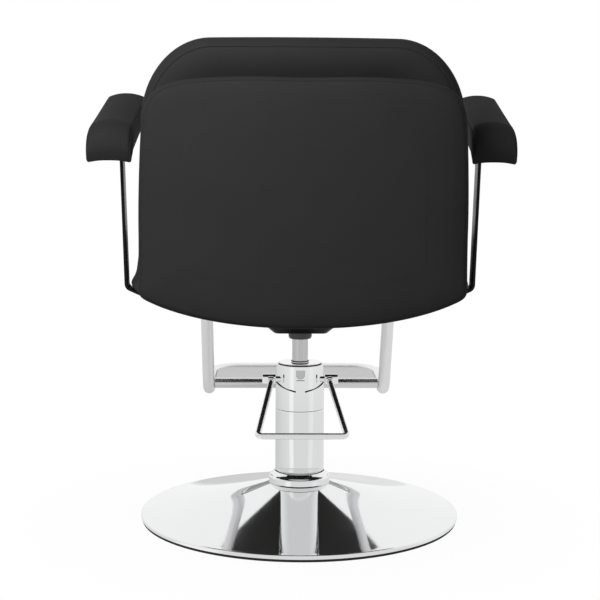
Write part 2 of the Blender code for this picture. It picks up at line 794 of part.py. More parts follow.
# Plunger with its return spring
plunger_top = z_shaft - cam_half - TOUCH
head_radius = PLUNGER_RADIUS + 0.0024
pump_plunger = turned(
    "pump_plunger",
    [
        (0.0, z_body - PLUNGER_DEPTH),
        (PLUNGER_RADIUS, z_body - PLUNGER_DEPTH),
        (PLUNGER_RADIUS, plunger_top - PLUNGER_HEAD),
        (head_radius, plunger_top - PLUNGER_HEAD),
        (head_radius, plunger_top),
        (0.0, plunger_top),
    ],
    dark_steel,
    FACETS_SMALL,
)
pump_plunger.location.y = plunger_y
spring_radius = PLUNGER_RADIUS + 0.0014
spring_low = z_body + TOUCH + SPRING_WIRE
spring_high = plunger_top - PLUNGER_HEAD - TOUCH - SPRING_WIRE
spring_path = []
for i in range(SPRING_TURNS * 8 + 1):
    angle = 2 * math.pi * i / 8
    height = spring_low + (spring_high - spring_low) * i / (SPRING_TURNS * 8)
    spring_path.append(
        (spring_radius * math.cos(angle), plunger_y + spring_radius * math.sin(angle), height)
    )
plunger_spring = tube("plunger_spring", spring_path, SPRING_WIRE, zinc, resolution=1)
coil_gap = (spring_high - spring_low) / SPRING_TURNS - 2 * SPRING_WIRE
print(f"least gap between the spring's coils: {coil_gap * 1000:.2f} mm")

# Swivel hub, thrust washer and the pressed plate under the seat
swivel_hub = turned(
    "swivel_hub",
    [
        (0.0, hub_ceiling),
        (ROD_RADIUS + RUN, hub_ceiling),
        (ROD_RADIUS + RUN, z_hub),
        (HUB_RADIUS - 0.003, z_hub),
        (HUB_RADIUS, z_hub + 0.004),
        (HUB_RADIUS, z_plate - TOUCH),
        (HUB_NECK, z_plate - TOUCH),
        (HUB_NECK, hub_ceiling + HUB_CROWN),
        (0.0, hub_ceiling + HUB_CROWN),
    ],
    dark_steel,
)
thrust_washer = turned(
    "thrust_washer",
    [
        (0.0, rod_top + TOUCH),
        (ROD_RADIUS - 0.002, rod_top + TOUCH),
        (ROD_RADIUS - 0.002, rod_top + TOUCH + WASHER_HEIGHT),
        (0.0, rod_top + TOUCH + WASHER_HEIGHT),
    ],
    bronze,
)
plate_top = z_plate + PLATE_DEPTH
z_gauge = plate_top - PLATE_GAUGE


def plate_ring(half, shrink, corner, level):
    outline = rounded_rectangle(half[0] - shrink, half[1] - shrink, corner)
    return [(x, y, level) for x, y in outline]


hub_hole = []
for x, y in rounded_rectangle(0.02, 0.02, 0.02 - 1e-4):
    hub_hole.append(Vector((x, y)).normalized() * (HUB_NECK + TOUCH + 0.0003))
seat_plate = stacked(
    "seat_plate",
    [
        plate_ring(PLATE_FLANGE, 0.0, 0.012, plate_top),
        plate_ring(PLATE_FLANGE, 0.0, 0.012, z_gauge),
        plate_ring(PLATE_WALL, -0.003, 0.014, z_gauge),
        plate_ring(PLATE_WALL, 0.0, 0.012, z_plate + PLATE_CHAMFER),
        plate_ring(PLATE_BOTTOM, 0.0, 0.010, z_plate),
        [(x, y, z_plate) for x, y in hub_hole],
        [(x, y, z_plate + PLATE_GAUGE) for x, y in hub_hole],
        plate_ring(PLATE_BOTTOM, 0.001, 0.010, z_plate + PLATE_GAUGE),
        plate_ring(PLATE_WALL, PLATE_GAUGE, 0.010, z_plate + PLATE_CHAMFER + 0.0015),
        plate_ring(PLATE_WALL, PLATE_GAUGE - 0.003, 0.012, plate_top),
    ],
    black_paint,
    ends="joined",
)

# Seat board, with a hole for every bolt that comes up into it
board_middle = (BOARD_FRONT + BOARD_REAR) / 2
board_outline = rounded_rectangle(
    board_half, (BOARD_REAR - BOARD_FRONT) / 2, BOARD_CORNER, rear_corner=BOARD_REAR_CORNER
)
seat_board = extruded(
    "seat_board",
    board_outline,
    lambda a, b, z: (a, board_middle + b, z),
    z_board,
    z_board + BOARD_HEIGHT,
    plywood,
)
plate_bolts = []
for sx in (1, -1):
    for sy in (1, -1):
        plate_bolts.append(
            (sx * (PLATE_FLANGE[0] - 0.014), sy * (PLATE_FLANGE[1] + PLATE_WALL[1] + 0.003) / 2)
        )
arm_bolts, foot_bolts, bar_bolts = [], [], []
for sx in (1, -1):
    for share in (0.2, 0.75):
        x = arm_foot_inner + share * (arm_foot_outer - arm_foot_inner)
        arm_bolts.append((sx * x, ARM_BAR_Y))
    for step in (-1, 1):
        foot_bolts.append((sx * (FOOT_HALF + step * (FOOT_FLANGE[0] - 0.012)), FOOT_TOP_Y))
    bar_bolts.append((sx * BACK_BAR_X, BACK_BAR_START + 0.030))
hole = BOLT_SHANK + BOLT_PLAY
board_bolts = plate_bolts + arm_bolts + foot_bolts + bar_bolts
drill(seat_board, board_bolts, hole, z_board - 0.01, z_board + 0.75 * BOARD_HEIGHT)
drill(seat_plate, plate_bolts, hole, z_gauge - 0.01, plate_top + 0.01)
chair = [swivel_hub, thrust_washer, seat_plate, seat_board]
into_board = BOARD_HEIGHT * 0.6
for i, (x, y) in enumerate(plate_bolts, 1):
    chair.append(bolt(f"seat_plate_bolt_{i}", x, y, z_gauge - TOUCH, PLATE_GAUGE + into_board))

# Seat cushion: wide at the board, drawn in at the seam, with a crowned top
seat_outline = mirrored_outline(
    [
        (0.0, SEAT_FRONT, 0, 0.28 * SEAT_HALF),
        (0.73 * SEAT_HALF, SEAT_FRONT + 0.010 * seat_depth, 4, 0.11 * SEAT_HALF),
        (0.965 * SEAT_HALF, SEAT_FRONT + 0.157 * seat_depth, 87, 0.11 * SEAT_HALF),
        (SEAT_HALF, SEAT_FRONT + 0.580 * seat_depth, 90, 0.17 * SEAT_HALF),
        (0.915 * SEAT_HALF, SEAT_FRONT + 0.857 * seat_depth, 102, 0.094 * SEAT_HALF),
        (0.70 * SEAT_HALF, SEAT_FRONT + 0.953 * seat_depth, 169, 0.094 * SEAT_HALF),
        (0.0, seat_rear, 180, 0.22 * SEAT_HALF),
    ],
    3,
)
seat_levels = (
    (0.200, 0.000),
    (0.070, 0.040),
    (0.000, 0.145),
    (0.078, 0.320),
    (0.126, 0.650),
    (0.165, 0.690),
    (0.152, 0.725),
    (0.226, 0.870),
    (0.417, 0.945),
    (0.957, 0.985),
)  # inset and height, both as shares of the seat's height
seat_rings = []
for amount, share in seat_levels:
    level = z_cushion + share * SEAT_HEIGHT
    seat_rings.append([(x, y, level) for x, y in inset(seat_outline, amount * SEAT_HEIGHT)])
seat_rings.append([(0.0, (SEAT_FRONT + seat_rear) / 2, z_cushion + SEAT_HEIGHT)])
chair.append(stacked("seat_cushion", seat_rings, vinyl))

# Back: front cushion, board and rear panel in one leaning, curved sandwich
panel_outline = mirrored_outline(
    [
        (0.0, 0.0, 0, 0.62 * PANEL_HALF),
        (0.942 * PANEL_HALF, 0.1025 * PANEL_HEIGHT, 24, 0.06 * PANEL_HALF),
        (PANEL_HALF, 0.162 * PANEL_HEIGHT, 94, 0.042 * PANEL_HALF),
        (0.991 * PANEL_HALF, 0.400 * PANEL_HEIGHT, 90, 0.158 * PANEL_HALF),
        (0.977 * PANEL_HALF, 0.790 * PANEL_HEIGHT, 92, 0.158 * PANEL_HALF),
        (0.594 * PANEL_HALF, 0.987 * PANEL_HEIGHT, 176, 0.204 * PANEL_HALF),
        (0.0, PANEL_HEIGHT, 180, 0.211 * PANEL_HALF),
    ],
    4,
)
panel_levels = ((0.0, 0.0), (3.49, 0.0), (1.86, 0.0), (0.28, 0.0005), (0.07, 0.10), (0.0, 0.33))
panel_levels += ((0.035, 0.56), (0.175, 0.77), (0.56, 0.90), (1.86, 0.965), (3.49, 0.985), (0.0, 1.0))
chair.append(
    back_layer(
        "back_panel",
        panel_outline,
        [(amount * PANEL_THICKNESS, share * PANEL_THICKNESS) for amount, share in panel_levels],
        vinyl,
    )
)
middle_v = PANEL_HEIGHT / 2
board_ring = 0.32 * PANEL_HALF
back_board_outline = []
for u, v in panel_outline:
    back_board_outline.append((u * BACK_BOARD_SHARE, middle_v + (v - middle_v) * BACK_BOARD_SHARE))
chair.append(
    back_layer(
        "back_board",
        back_board_outline,
        [
            (0.0, board_front),
            (board_ring, board_front),
            (0.0, board_front),
            (0.0, board_rear),
            (board_ring, board_rear),
            (0.0, board_rear),
        ],
        plywood,
    )
)
corner_handle = 0.595 * CUSHION_CORNER
foot_corner = CUSHION_FOOT_CORNER
cushion_outline = mirrored_outline(
    [
        (0.0, CUSHION_FOOT, 0, 0.25 * CUSHION_HALF),
        (CUSHION_HALF - foot_corner, CUSHION_FOOT, 0, 0.552 * foot_corner),
        (CUSHION_HALF, CUSHION_FOOT + foot_corner, 90, 0.552 * foot_corner),
        (CUSHION_HALF, CUSHION_TOP - CUSHION_CORNER, 90, corner_handle),
        (CUSHION_HALF - CUSHION_CORNER, CUSHION_TOP, 180, corner_handle),
        (0.0, CUSHION_TOP, 180, 0.18 * CUSHION_HALF),
    ],
    4,
)
cushion_rear = board_front - LAYER
cushion_levels = ((0.0, 1.0), (1.41, 0.985), (0.87, 0.965), (0.26, 0.90), (0.087, 0.78), (0.027, 0.70))
cushion_levels += ((0.0, 0.60), (0.0, 0.34), (0.049, 0.17), (0.098, 0.115), (0.152, 0.050))
cushion_levels += ((0.326, 0.012), (0.87, 0.0), (1.41, 0.0), (0.0, 0.0))
cushion_rings = []
for amount, share in cushion_levels:
    cushion_rings.append((amount * CUSHION_THICKNESS, cushion_rear - share * CUSHION_THICKNESS))
chair.append(back_layer("back_cushion", cushion_outline, cushion_rings, vinyl))

# Flat bars that carry the back: under the seat board, then up between board and panel
bar_w = -(LAYER + BAR_THICKNESS / 2)
_, back_low_y, back_low_z = back_point(0.0, 0.0, bar_w)
corner_y = back_low_y + (z_bar - back_low_z) * math.tan(BACK_LEAN)
_, back_top_y, back_top_z = back_point(0.0, BACK_BAR_TOP, bar_w)
back_corners = [(BACK_BAR_START, z_bar), (corner_y, z_bar), (back_top_y, back_top_z)]
back_path = rounded_path(back_corners, [BAR_BEND + BAR_THICKNESS / 2], 5)
back_outline = bar_sides(back_path, BAR_THICKNESS)
for side, sx in (("left", 1), ("right", -1)):
    edges = sorted((sx * (BACK_BAR_X - BAR_WIDTH / 2), sx * (BACK_BAR_X + BAR_WIDTH / 2)))
    bracket = extruded(
        f"back_bracket_{side}", back_outline, lambda a, b, x: (x, a - sag(x), b), *edges, black_paint
    )
    drill(bracket, [p for p in bar_bolts if p[0] * sx > 0], hole, z_bar - 0.02, z_bar + 0.02)
    chair.append(bracket)

# Arms: bent bar, curved plate and upholstered pad on each side
pad_under = ARM_ARC - ARM_THICKNESS
board_high = pad_under - TOUCH
board_low = board_high - ARM_BOARD_THICKNESS
arm_half = [(-0.80, -1.0), (-0.93, -0.94), (-0.985, -0.75), (-1.00, -0.52), (-0.99, -0.32), (-0.955, -0.17)]
arm_half += [(-0.915, -0.115), (-0.87, -0.045), (-0.75, 0.02), (-0.50, 0.09), (-0.25, 0.13)]
arm_profile = [*arm_half, (0.0, 0.14), *[(-across, depth) for across, depth in arm_half[::-1]], (0.0, -1.0)]
bar_low_edge = ARM_BAR_Y - BAR_WIDTH / 2
bar_high_edge = ARM_BAR_Y + BAR_WIDTH / 2


arm_step = (ARM_FRONT_ANGLE - ARM_REAR_ANGLE) / ARM_STATIONS


def arm_board_z(y):
    """Height of the arm board's underside over this y, where its facets hang lowest."""
    facet_radius = board_low * math.cos(arm_step / 2)
    return ARM_CREST_Z - ARM_ARC + math.sqrt(facet_radius**2 - (y - ARM_CREST_Y) ** 2)


def arm_rings(x_middle):
    """Cross sections of the pad from its rear to its front end; the top rolls down at both."""
    rings = []
    ends = []
    for degrees in (90, 66, 42, 20, 0):
        turn = math.radians(degrees)
        low = 1 - math.cos(turn)
        ends.append((ARM_ROLL * math.sin(turn), 1 - 0.62 * low, 1 - 0.05 * low))
    stations = [(ARM_REAR_ANGLE, *end) for end in ends]
    for i in range(1, ARM_STATIONS):
        stations.append((ARM_REAR_ANGLE + arm_step * i, 0.0, 1.0, 1.0))
    stations += [(ARM_FRONT_ANGLE, -reach, height, width) for reach, height, width in reversed(ends)]
    for angle, reach, height, width in stations:
        ring = []
        for across, depth in arm_profile:
            radius = pad_under + ARM_THICKNESS * (depth + 1) * height
            x, y, z = arm_point(x_middle + across * ARM_HALF * width, radius, angle)
            ring.append((x, y + reach * math.cos(angle), z - reach * math.sin(angle)))
        rings.append(ring)
    return rings


for side, sx in (("left", 1), ("right", -1)):
    top_z = arm_board_z(ARM_BAR_Y)
    top_x = knee_x + ARM_LEAN * (top_z - z_bar - ARM_RISE)
    arm_path = rounded_path(
        [(arm_foot_inner, z_bar), (arm_foot_outer, z_bar), (knee_x, z_bar + ARM_RISE), (top_x, top_z)],
        [BAR_BEND, BAR_BEND],
        5,
    )
    arm_sides = bar_sides(arm_path, BAR_THICKNESS)
    rings = []
    for y in (bar_low_edge, bar_high_edge):
        ring = []
        for a, b in arm_sides:
            trimmed = arm_board_z(y) - TOUCH if b > top_z - 0.01 else b
            ring.append((sx * a, y, trimmed))
        rings.append(ring)
    bracket = stacked(f"arm_bracket_{side}", rings, black_paint)
    drill(bracket, [p for p in arm_bolts if p[0] * sx > 0], hole, z_bar - 0.02, z_bar + 0.02)

    board_rings = []
    for i in range(1, ARM_STATIONS):
        angle = ARM_REAR_ANGLE + arm_step * i
        low = [arm_point(sx * arm_x + a, board_low, angle) for a in (-ARM_BOARD_HALF, ARM_BOARD_HALF)]
        high = [arm_point(sx * arm_x + a, board_high, angle) for a in (ARM_BOARD_HALF, -ARM_BOARD_HALF)]
        board_rings.append(low + high)
    arm_board = stacked(f"arm_board_{side}", board_rings, dark_steel)
    arm_pad = stacked(f"arm_pad_{side}", arm_rings(sx * arm_x), vinyl)
    chair += [bracket, arm_board, arm_pad]

# Footrest: one bent tube, a cross bar at its lower bend, a plate in the loop and two flanges
foot_top_z = z_board - TOUCH - FOOT_FLANGE[2] - TOUCH
foot_knee_z = foot_top_z - FOOT_STUB
foot_low_y = FOOT_TOP_Y - (foot_knee_z - FOOT_Z) * FOOT_SLANT
foot_corners = [
    (FOOT_HALF, FOOT_TOP_Y, foot_top_z),
    (FOOT_HALF, FOOT_TOP_Y, foot_knee_z),
    (FOOT_HALF, foot_low_y, FOOT_Z),
    (FOOT_HALF, FOOT_FRONT, FOOT_Z),
]
foot_corners += [(-x, y, z) for x, y, z in reversed(foot_corners)]
foot_bends = [FOOT_BEND, FOOT_BEND, FOOT_CORNER]
foot_path = rounded_path(foot_corners, foot_bends + foot_bends[::-1], FOOT_STEPS)
chair.append(tube("footrest_frame", foot_path, FOOT_TUBE, chrome))
bend_middle = foot_path[1 + FOOT_STEPS + 1 + FOOT_STEPS // 2]
bar_reach = FOOT_HALF - FOOT_TUBE - TOUCH
bar_ends = [(-bar_reach, bend_middle.y, bend_middle.z), (bar_reach, bend_middle.y, bend_middle.z)]
chair.append(tube("footrest_crossbar", bar_ends, FOOT_BAR, chrome))
plate_z = FOOT_Z + FOOT_PLATE_RISE
plate_rear = bend_middle.y - FOOT_BAR - TOUCH
plate_front = FOOT_FRONT + FOOT_TUBE + TOUCH
plate_half = FOOT_HALF - FOOT_TUBE - TOUCH
plate_corner = FOOT_CORNER - FOOT_TUBE
plate_outline = [(plate_half, plate_rear), (-plate_half, plate_rear)]
for sx, start in ((-1, 180), (1, 270)):
    for i in range(7):
        angle = math.radians(start + 90 * i / 6)
        plate_outline.append(
            (
                sx * (plate_half - plate_corner) + plate_corner * math.cos(angle),
                plate_front + plate_corner + plate_corner * math.sin(angle),
            )
        )
chair.append(
    extruded(
        "footrest_plate", plate_outline, lambda a, b, z: (a, b, z), plate_z, plate_z + FOOT_PLATE, chrome
    )
)
flange_low = z_board - TOUCH - FOOT_FLANGE[2]
for side, sx in (("left", 1), ("right", -1)):
    flange = extruded(
        f"footrest_flange_{side}",
        rounded_rectangle(FOOT_FLANGE[0], FOOT_FLANGE[1], 0.006, 3),
        lambda a, b, z, sx=sx: (sx * FOOT_HALF + a, FOOT_TOP_Y + b, z),
        flange_low,
        flange_low + FOOT_FLANGE[2],
        chrome,
    )
    drill(flange, [p for p in foot_bolts if p[0] * sx > 0], hole, flange_low - 0.01, flange_low + 0.02)
    chair.append(flange)

# Bolts that hold the arms, the back bars and the footrest to the board
under_bar = z_bar - BAR_THICKNESS / 2 - TOUCH
for i, (x, y) in enumerate(arm_bolts, 1):
    chair.append(bolt(f"arm_bolt_{i}", x, y, under_bar, BAR_THICKNESS + into_board))
for i, (x, y) in enumerate(bar_bolts, 1):
    chair.append(bolt(f"back_bolt_{i}", x, y, under_bar, BAR_THICKNESS + into_board))
for i, (x, y) in enumerate(foot_bolts, 1):
    chair.append(bolt(f"footrest_bolt_{i}", x, y, flange_low - TOUCH, FOOT_FLANGE[2] + into_board))

# Axes that the moving groups hang on
for name, place, group in (
    ("pedal_axis", (0.0, shaft_y, z_shaft), [pedal_shaft, pedal_rod, pedal_cam, *ferrules]),
    ("plunger_axis", (0.0, plunger_y, z_body), [pump_plunger]),
    ("lift_axis", (0.0, 0.0, z_top), [piston_rod, piston_head, piston_seal]),
    ("swivel_axis", (0.0, 0.0, z_hub), chair),
):
    axis = bpy.data.objects.new(name, None)
    axis.location = place
    bpy.context.scene.collection.objects.link(axis)
    for obj in group:
        obj.parent = axis
        obj.matrix_parent_inverse = Matrix.Translation(-Vector(place))
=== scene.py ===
# %% [markdown]
# # A hairdressing chair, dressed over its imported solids
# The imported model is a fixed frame: every solid already stands where it belongs, in metres, with the column
# on the Z axis and the sitter facing -Y. This lesson gives each solid its finish, and replaces those that a
# CAD program can only rough out, such as cushions, by pieces with seams, rounded edges and thread.

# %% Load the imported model
from math import cos, dist, exp, pi, radians, sin, sqrt, tan

import bmesh
import bpy
from mathutils import Matrix, Vector
from mathutils.geometry import interpolate_bezier


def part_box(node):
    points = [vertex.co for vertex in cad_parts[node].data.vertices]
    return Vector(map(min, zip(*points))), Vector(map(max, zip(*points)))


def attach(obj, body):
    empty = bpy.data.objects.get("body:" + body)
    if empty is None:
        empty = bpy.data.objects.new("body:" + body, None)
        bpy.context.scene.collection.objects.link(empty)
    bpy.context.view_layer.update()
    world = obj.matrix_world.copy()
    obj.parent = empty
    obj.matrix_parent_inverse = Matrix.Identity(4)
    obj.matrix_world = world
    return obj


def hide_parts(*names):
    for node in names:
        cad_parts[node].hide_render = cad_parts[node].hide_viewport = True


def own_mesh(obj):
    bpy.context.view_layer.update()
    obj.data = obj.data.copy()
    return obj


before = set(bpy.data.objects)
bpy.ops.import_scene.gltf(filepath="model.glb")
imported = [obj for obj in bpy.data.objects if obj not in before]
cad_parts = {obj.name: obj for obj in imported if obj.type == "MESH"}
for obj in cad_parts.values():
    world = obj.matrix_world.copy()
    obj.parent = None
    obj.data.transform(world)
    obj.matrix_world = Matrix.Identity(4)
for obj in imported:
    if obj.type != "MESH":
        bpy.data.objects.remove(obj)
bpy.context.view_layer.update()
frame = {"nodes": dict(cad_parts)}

nodes, scene = frame["nodes"], bpy.context.scene

# %% [markdown]
# ## Writing shaders as sums
# A finish is a small machine of nodes. Wiring it by hand takes three lines a node, so one class wraps an
# output socket and lets ordinary arithmetic add the Math nodes, and one method makes every other node.

# %% The wire and the finish


class Wire:
    """An output socket of a finish; arithmetic on it adds Math nodes to the same tree."""

    def __init__(self, finish, socket):
        self.finish, self.socket = finish, socket

    def maths(self, operation, first, second):
        return self.finish.node("ShaderNodeMath", {"operation": operation}, {0: first, 1: second})

    def __add__(self, other):
        return self.maths("ADD", self, other)

    def __sub__(self, other):
        return self.maths("SUBTRACT", self, other)

    def __mul__(self, other):
        return self.maths("MULTIPLY", self, other)

    __rmul__ = __mul__


class Nodes:
    """A shader tree in which one method makes every node."""

    def __init__(self, tree):
        self.tree = tree

    def node(self, kind, settings, sockets, output=0):
        made = self.tree.nodes.new(kind)
        for name, value in settings.items():
            if name == "stops":
                ramp = made.color_ramp
                while len(ramp.elements) < len(value):
                    ramp.elements.new(1.0)
                for element, (position, grey) in zip(ramp.elements, value):
                    element.position, element.color = position, (grey, grey, grey, 1.0)
            else:
                setattr(made, name, value)
        for name, value in sockets.items():
            if isinstance(value, Wire):
                self.tree.links.new(value.socket, made.inputs[name])
            else:
                made.inputs[name].default_value = value
        return Wire(self, made.outputs[output])

    def fade(self, wire, low, high, to_low=0.0, to_high=1.0):
        sockets = {"Value": wire, "From Min": low, "From Max": high, "To Min": to_low, "To Max": to_high}
        return self.node("ShaderNodeMapRange", {"clamp": True}, sockets)

    def show(self, wire, end):
        self.tree.links.new(wire.socket, self.tree.nodes[end].inputs["Surface"])


class Finish(Nodes):
    """A material around one Principled shader; constants go on the shader's own sockets."""

    def __init__(self, name, constants):
        self.material = bpy.data.materials.new(name)
        self.material.use_nodes = True
        super().__init__(self.material.node_tree)
        self.shader = self.tree.nodes["Principled BSDF"]
        for socket, value in constants.items():
            self.shader.inputs[socket].default_value = value
        self.place = self.node("ShaderNodeTexCoord", {}, {}, "Object")

    def feed(self, socket, wire):
        self.tree.links.new(wire.socket, self.shader.inputs[socket])

    def stretched(self, scale):
        return self.node("ShaderNodeMapping", {}, {"Vector": self.place, "Scale": scale})

    def noise(self, scale, detail=2.0, vector=None):
        sockets = {"Vector": vector or self.place, "Scale": scale, "Detail": detail}
        return self.node("ShaderNodeTexNoise", {}, sockets)

    def tint(self, share, low, high):
        sockets = {"Factor": share, 6: (*low, 1.0), 7: (*high, 1.0)}
        return self.node("ShaderNodeMix", {"data_type": "RGBA"}, sockets, 2)

    def relief(self, height, distance, strength=1.0):
        sockets = {"Height": height, "Distance": distance, "Strength": strength}
        self.feed("Normal", self.node("ShaderNodeBump", {}, sockets))


print("wires add Math nodes, finishes hold one shader each")

# %% [markdown]
# ## Black vinyl
# Upholstery vinyl is a plastic skin with a fine pebble embossed into it. From two metres it reads as smooth
# and matt, from close by the pebbles show. Voronoi cells about a millimetre wide make the pebbles, a little
# noise makes the skin look handled, and both stay weak, because the real cover is nearly plain.

# %% Vinyl and thread
vinyl = Finish("black_vinyl", {"Specular IOR Level": 0.004})
pebble = vinyl.node("ShaderNodeTexVoronoi", {"feature": "SMOOTH_F1"}, {"Vector": vinyl.place, "Scale": 900.0})
handled = vinyl.noise(9.0, 3.0)
pores = vinyl.noise(420.0, 1.0)
vinyl.feed("Base Color", vinyl.tint(handled, (0.030, 0.030, 0.0305), (0.036, 0.036, 0.0365)))
vinyl.feed("Roughness", vinyl.fade(handled, 0.3, 0.7, 0.50, 0.58) + 0.05 * pores)
vinyl.relief(pebble + 0.5 * pores, 0.00012, 0.35)

thread = Finish("black_thread", {"Specular IOR Level": 0.25, "Sheen Weight": 0.08})
twist = thread.node("ShaderNodeTexWave", {"bands_direction": "DIAGONAL"}, {"Vector": thread.place, "Scale": 700.0})
thread.feed("Base Color", thread.tint(twist, (0.005, 0.005, 0.0055), (0.014, 0.014, 0.015)))
thread.feed("Roughness", thread.fade(twist, 0.0, 1.0, 0.5, 0.7))
thread.relief(twist, 0.0001)
print("vinyl pebbles are about 1.1 mm wide")

# %% [markdown]
# ## Chrome and the painted steel
# Chrome plate takes its whole look from what it mirrors. What keeps it from looking computed is slight: a
# haze of wiping marks and hairline scratches that only change the roughness by a few hundredths. The rod, the
# tread and the bent tubes are ground or plated less finely, so they differ in two greys and two roughnesses.
# The bars and the seat plate are stove-enamelled, which leaves a faint orange peel.

# %% Chrome, enamel and the other metals
chrome = Finish("chrome", {"Metallic": 1.0})
wiped = chrome.noise(14.0, 4.0)
hairlines = chrome.noise(60.0, 2.0, chrome.stretched((1.0, 1.0, 14.0)))
chrome.feed("Base Color", chrome.tint(wiped, (0.84, 0.845, 0.85), (0.875, 0.88, 0.885)))
chrome.feed("Roughness", chrome.fade(wiped, 0.35, 0.75, 0.025, 0.06) + 0.02 * hairlines)


def satin_metal(name, dark, light, smooth, rough):
    """A plated or ground steel with a soft streak along Z."""
    made = Finish(name, {"Metallic": 1.0})
    brushed = made.noise(14.0, 2.0, made.stretched((3.0, 3.0, 0.6)))
    made.feed("Base Color", made.tint(brushed, (dark, dark, 1.01 * dark), (light, light, 1.01 * light)))
    made.feed("Roughness", made.fade(brushed, 0.3, 0.7, smooth, rough))
    return made


matt = satin_metal("matt_chrome", 0.90, 0.94, 0.44, 0.50)
satin = satin_metal("satin_chrome", 0.70, 0.76, 0.26, 0.32)
ground_steel = satin_metal("ground_steel", 0.50, 0.58, 0.08, 0.14)
# a darker copy of the satin chrome, for the tread
darker_satin = satin_metal("darker_satin_chrome", 0.46, 0.52, 0.30, 0.36)
rolled = satin_metal("rolled_chrome", 0.86, 0.90, 0.22, 0.28)

enamel = Finish("black_enamel", {"Specular IOR Level": 0.14})
peel = enamel.noise(330.0, 1.0)
dust = enamel.noise(22.0, 4.0)
enamel.feed("Base Color", enamel.tint(dust, (0.004, 0.004, 0.0043), (0.008, 0.008, 0.0084)))
enamel.feed("Roughness", enamel.fade(dust, 0.3, 0.75, 0.30, 0.42))
enamel.relief(peel, 0.00006)


def metal(name, dark, light, rough, grain, bump):
    """A bare metal whose colour, roughness and skin all follow one grain."""
    made = Finish(name, {"Metallic": 1.0})
    patch = made.noise(grain, 4.0)
    made.feed("Base Color", made.tint(patch, dark, light))
    made.feed("Roughness", made.fade(patch, 0.25, 0.75, rough - 0.08, rough + 0.08))
    made.relief(made.noise(grain * 6.0, 3.0), bump)
    return made


dark_steel = metal("dark_steel", (0.045, 0.045, 0.048), (0.115, 0.115, 0.12), 0.42, 120.0, 0.0002)
zinc = metal("zinc_plate", (0.46, 0.47, 0.48), (0.60, 0.61, 0.61), 0.34, 160.0, 0.00004)
cast_iron = metal("cast_iron", (0.10, 0.10, 0.105), (0.19, 0.19, 0.195), 0.62, 200.0, 0.0004)
bronze = metal("bronze", (0.40, 0.25, 0.10), (0.53, 0.35, 0.16), 0.34, 90.0, 0.00003)
print("chrome, five softer steels, enamel and four bare metals")

# %% [markdown]
# ## Rubber and plywood
# The base rests on a rubber edge, dull and a little dusty. The seat and the back are screwed to plywood,
# stained nearly black: the long grain still shows, and the edges show the plies as alternate lines.

# %% Rubber and plywood
rubber = Finish("black_rubber", {"Specular IOR Level": 0.3})
bloom = rubber.noise(35.0, 4.0)
rubber.feed("Base Color", rubber.tint(bloom, (0.010, 0.010, 0.010), (0.024, 0.024, 0.024)))
rubber.feed("Roughness", rubber.fade(bloom, 0.3, 0.7, 0.62, 0.82))
rubber.relief(rubber.noise(900.0), 0.00008)

plywood = Finish("plywood", {"Specular IOR Level": 0.3})
grain = plywood.noise(26.0, 5.0, plywood.stretched((0.6, 7.0, 7.0)))
plies = plywood.node(
    "ShaderNodeTexWave", {"bands_direction": "Z"}, {"Vector": plywood.place, "Scale": 100.0, "Distortion": 0.4}
)
plywood.feed("Base Color", plywood.tint(0.65 * grain + 0.25 * plies, (0.013, 0.012, 0.011), (0.030, 0.027, 0.025)))
plywood.feed("Roughness", plywood.fade(grain, 0.2, 0.8, 0.55, 0.75))
plywood.relief(grain, 0.0003, 0.5)

finishes = {
    "chrome": chrome, "vinyl": vinyl, "black_paint": enamel, "dark_steel": dark_steel, "zinc": zinc,
    "cast_iron": cast_iron, "bronze": bronze, "rubber": rubber, "plywood": plywood,
}  # fmt: skip

# %% [markdown]
# ## Meshes from rings
# Nearly every piece of this chair is a row of rings with a skin over it: a turned dish, a bent tube, a
# cushion. One helper skins them, merges what coincides and turns the faces outwards, so that the pieces
# differ only in where their rings come from.

# %% Skins and how a piece joins the frame


def skinned(name, rings, finish, ends="capped", sharp=None):
    """Skins rings in order; a ring of one point is a pole. Ends are capped, or joined to each other.
    Edges that turn by more than sharp degrees don't shade as round."""
    bm = bmesh.new()
    made = [[bm.verts.new(point) for point in ring] for ring in rings]
    pairs = list(zip(made, made[1:]))
    if ends == "joined":
        pairs.append((made[-1], made[0]))
    for low, high in pairs:
        count = max(len(low), len(high))
        for i in range(count):
            j = (i + 1) % count
            if len(low) == 1:
                bm.faces.new((low[0], high[j], high[i]))
            elif len(high) == 1:
                bm.faces.new((low[i], low[j], high[0]))
            else:
                bm.faces.new((low[i], low[j], high[j], high[i]))
    if ends == "capped":
        for ring in (made[0], made[-1]):
            if len(ring) > 1:
                bm.faces.new(ring)
    bmesh.ops.remove_doubles(bm, verts=bm.verts, dist=1e-6)
    bmesh.ops.recalc_face_normals(bm, faces=bm.faces)
    mesh = bpy.data.meshes.new(name)
    bm.to_mesh(mesh)
    bm.free()
    piece = placed(name, mesh, finish)
    if sharp:
        mesh.set_sharp_from_angle(angle=radians(sharp))
    return piece


def placed(name, mesh, finish, smooth=True):
    """Puts a mesh into the scene at the origin, in one finish."""
    mesh.materials.clear()
    mesh.materials.append(finish.material)
    for face in mesh.polygons:
        face.use_smooth = smooth
    piece = bpy.data.objects.new(name, mesh)
    scene.collection.objects.link(piece)
    return piece


def dress(piece, body, slot, *stands_for):
    """Gives a piece its body and the solids that it stands for; the slot is not used."""
    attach(piece, body)
    if stands_for:
        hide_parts(*stands_for)


def settled(piece):
    """Applies the piece's modifiers, so that what is shown is a plain mesh."""
    graph = bpy.context.evaluated_depsgraph_get()
    mesh = bpy.data.meshes.new_from_object(piece.evaluated_get(graph))
    piece.modifiers.clear()
    piece.data = mesh
    return piece


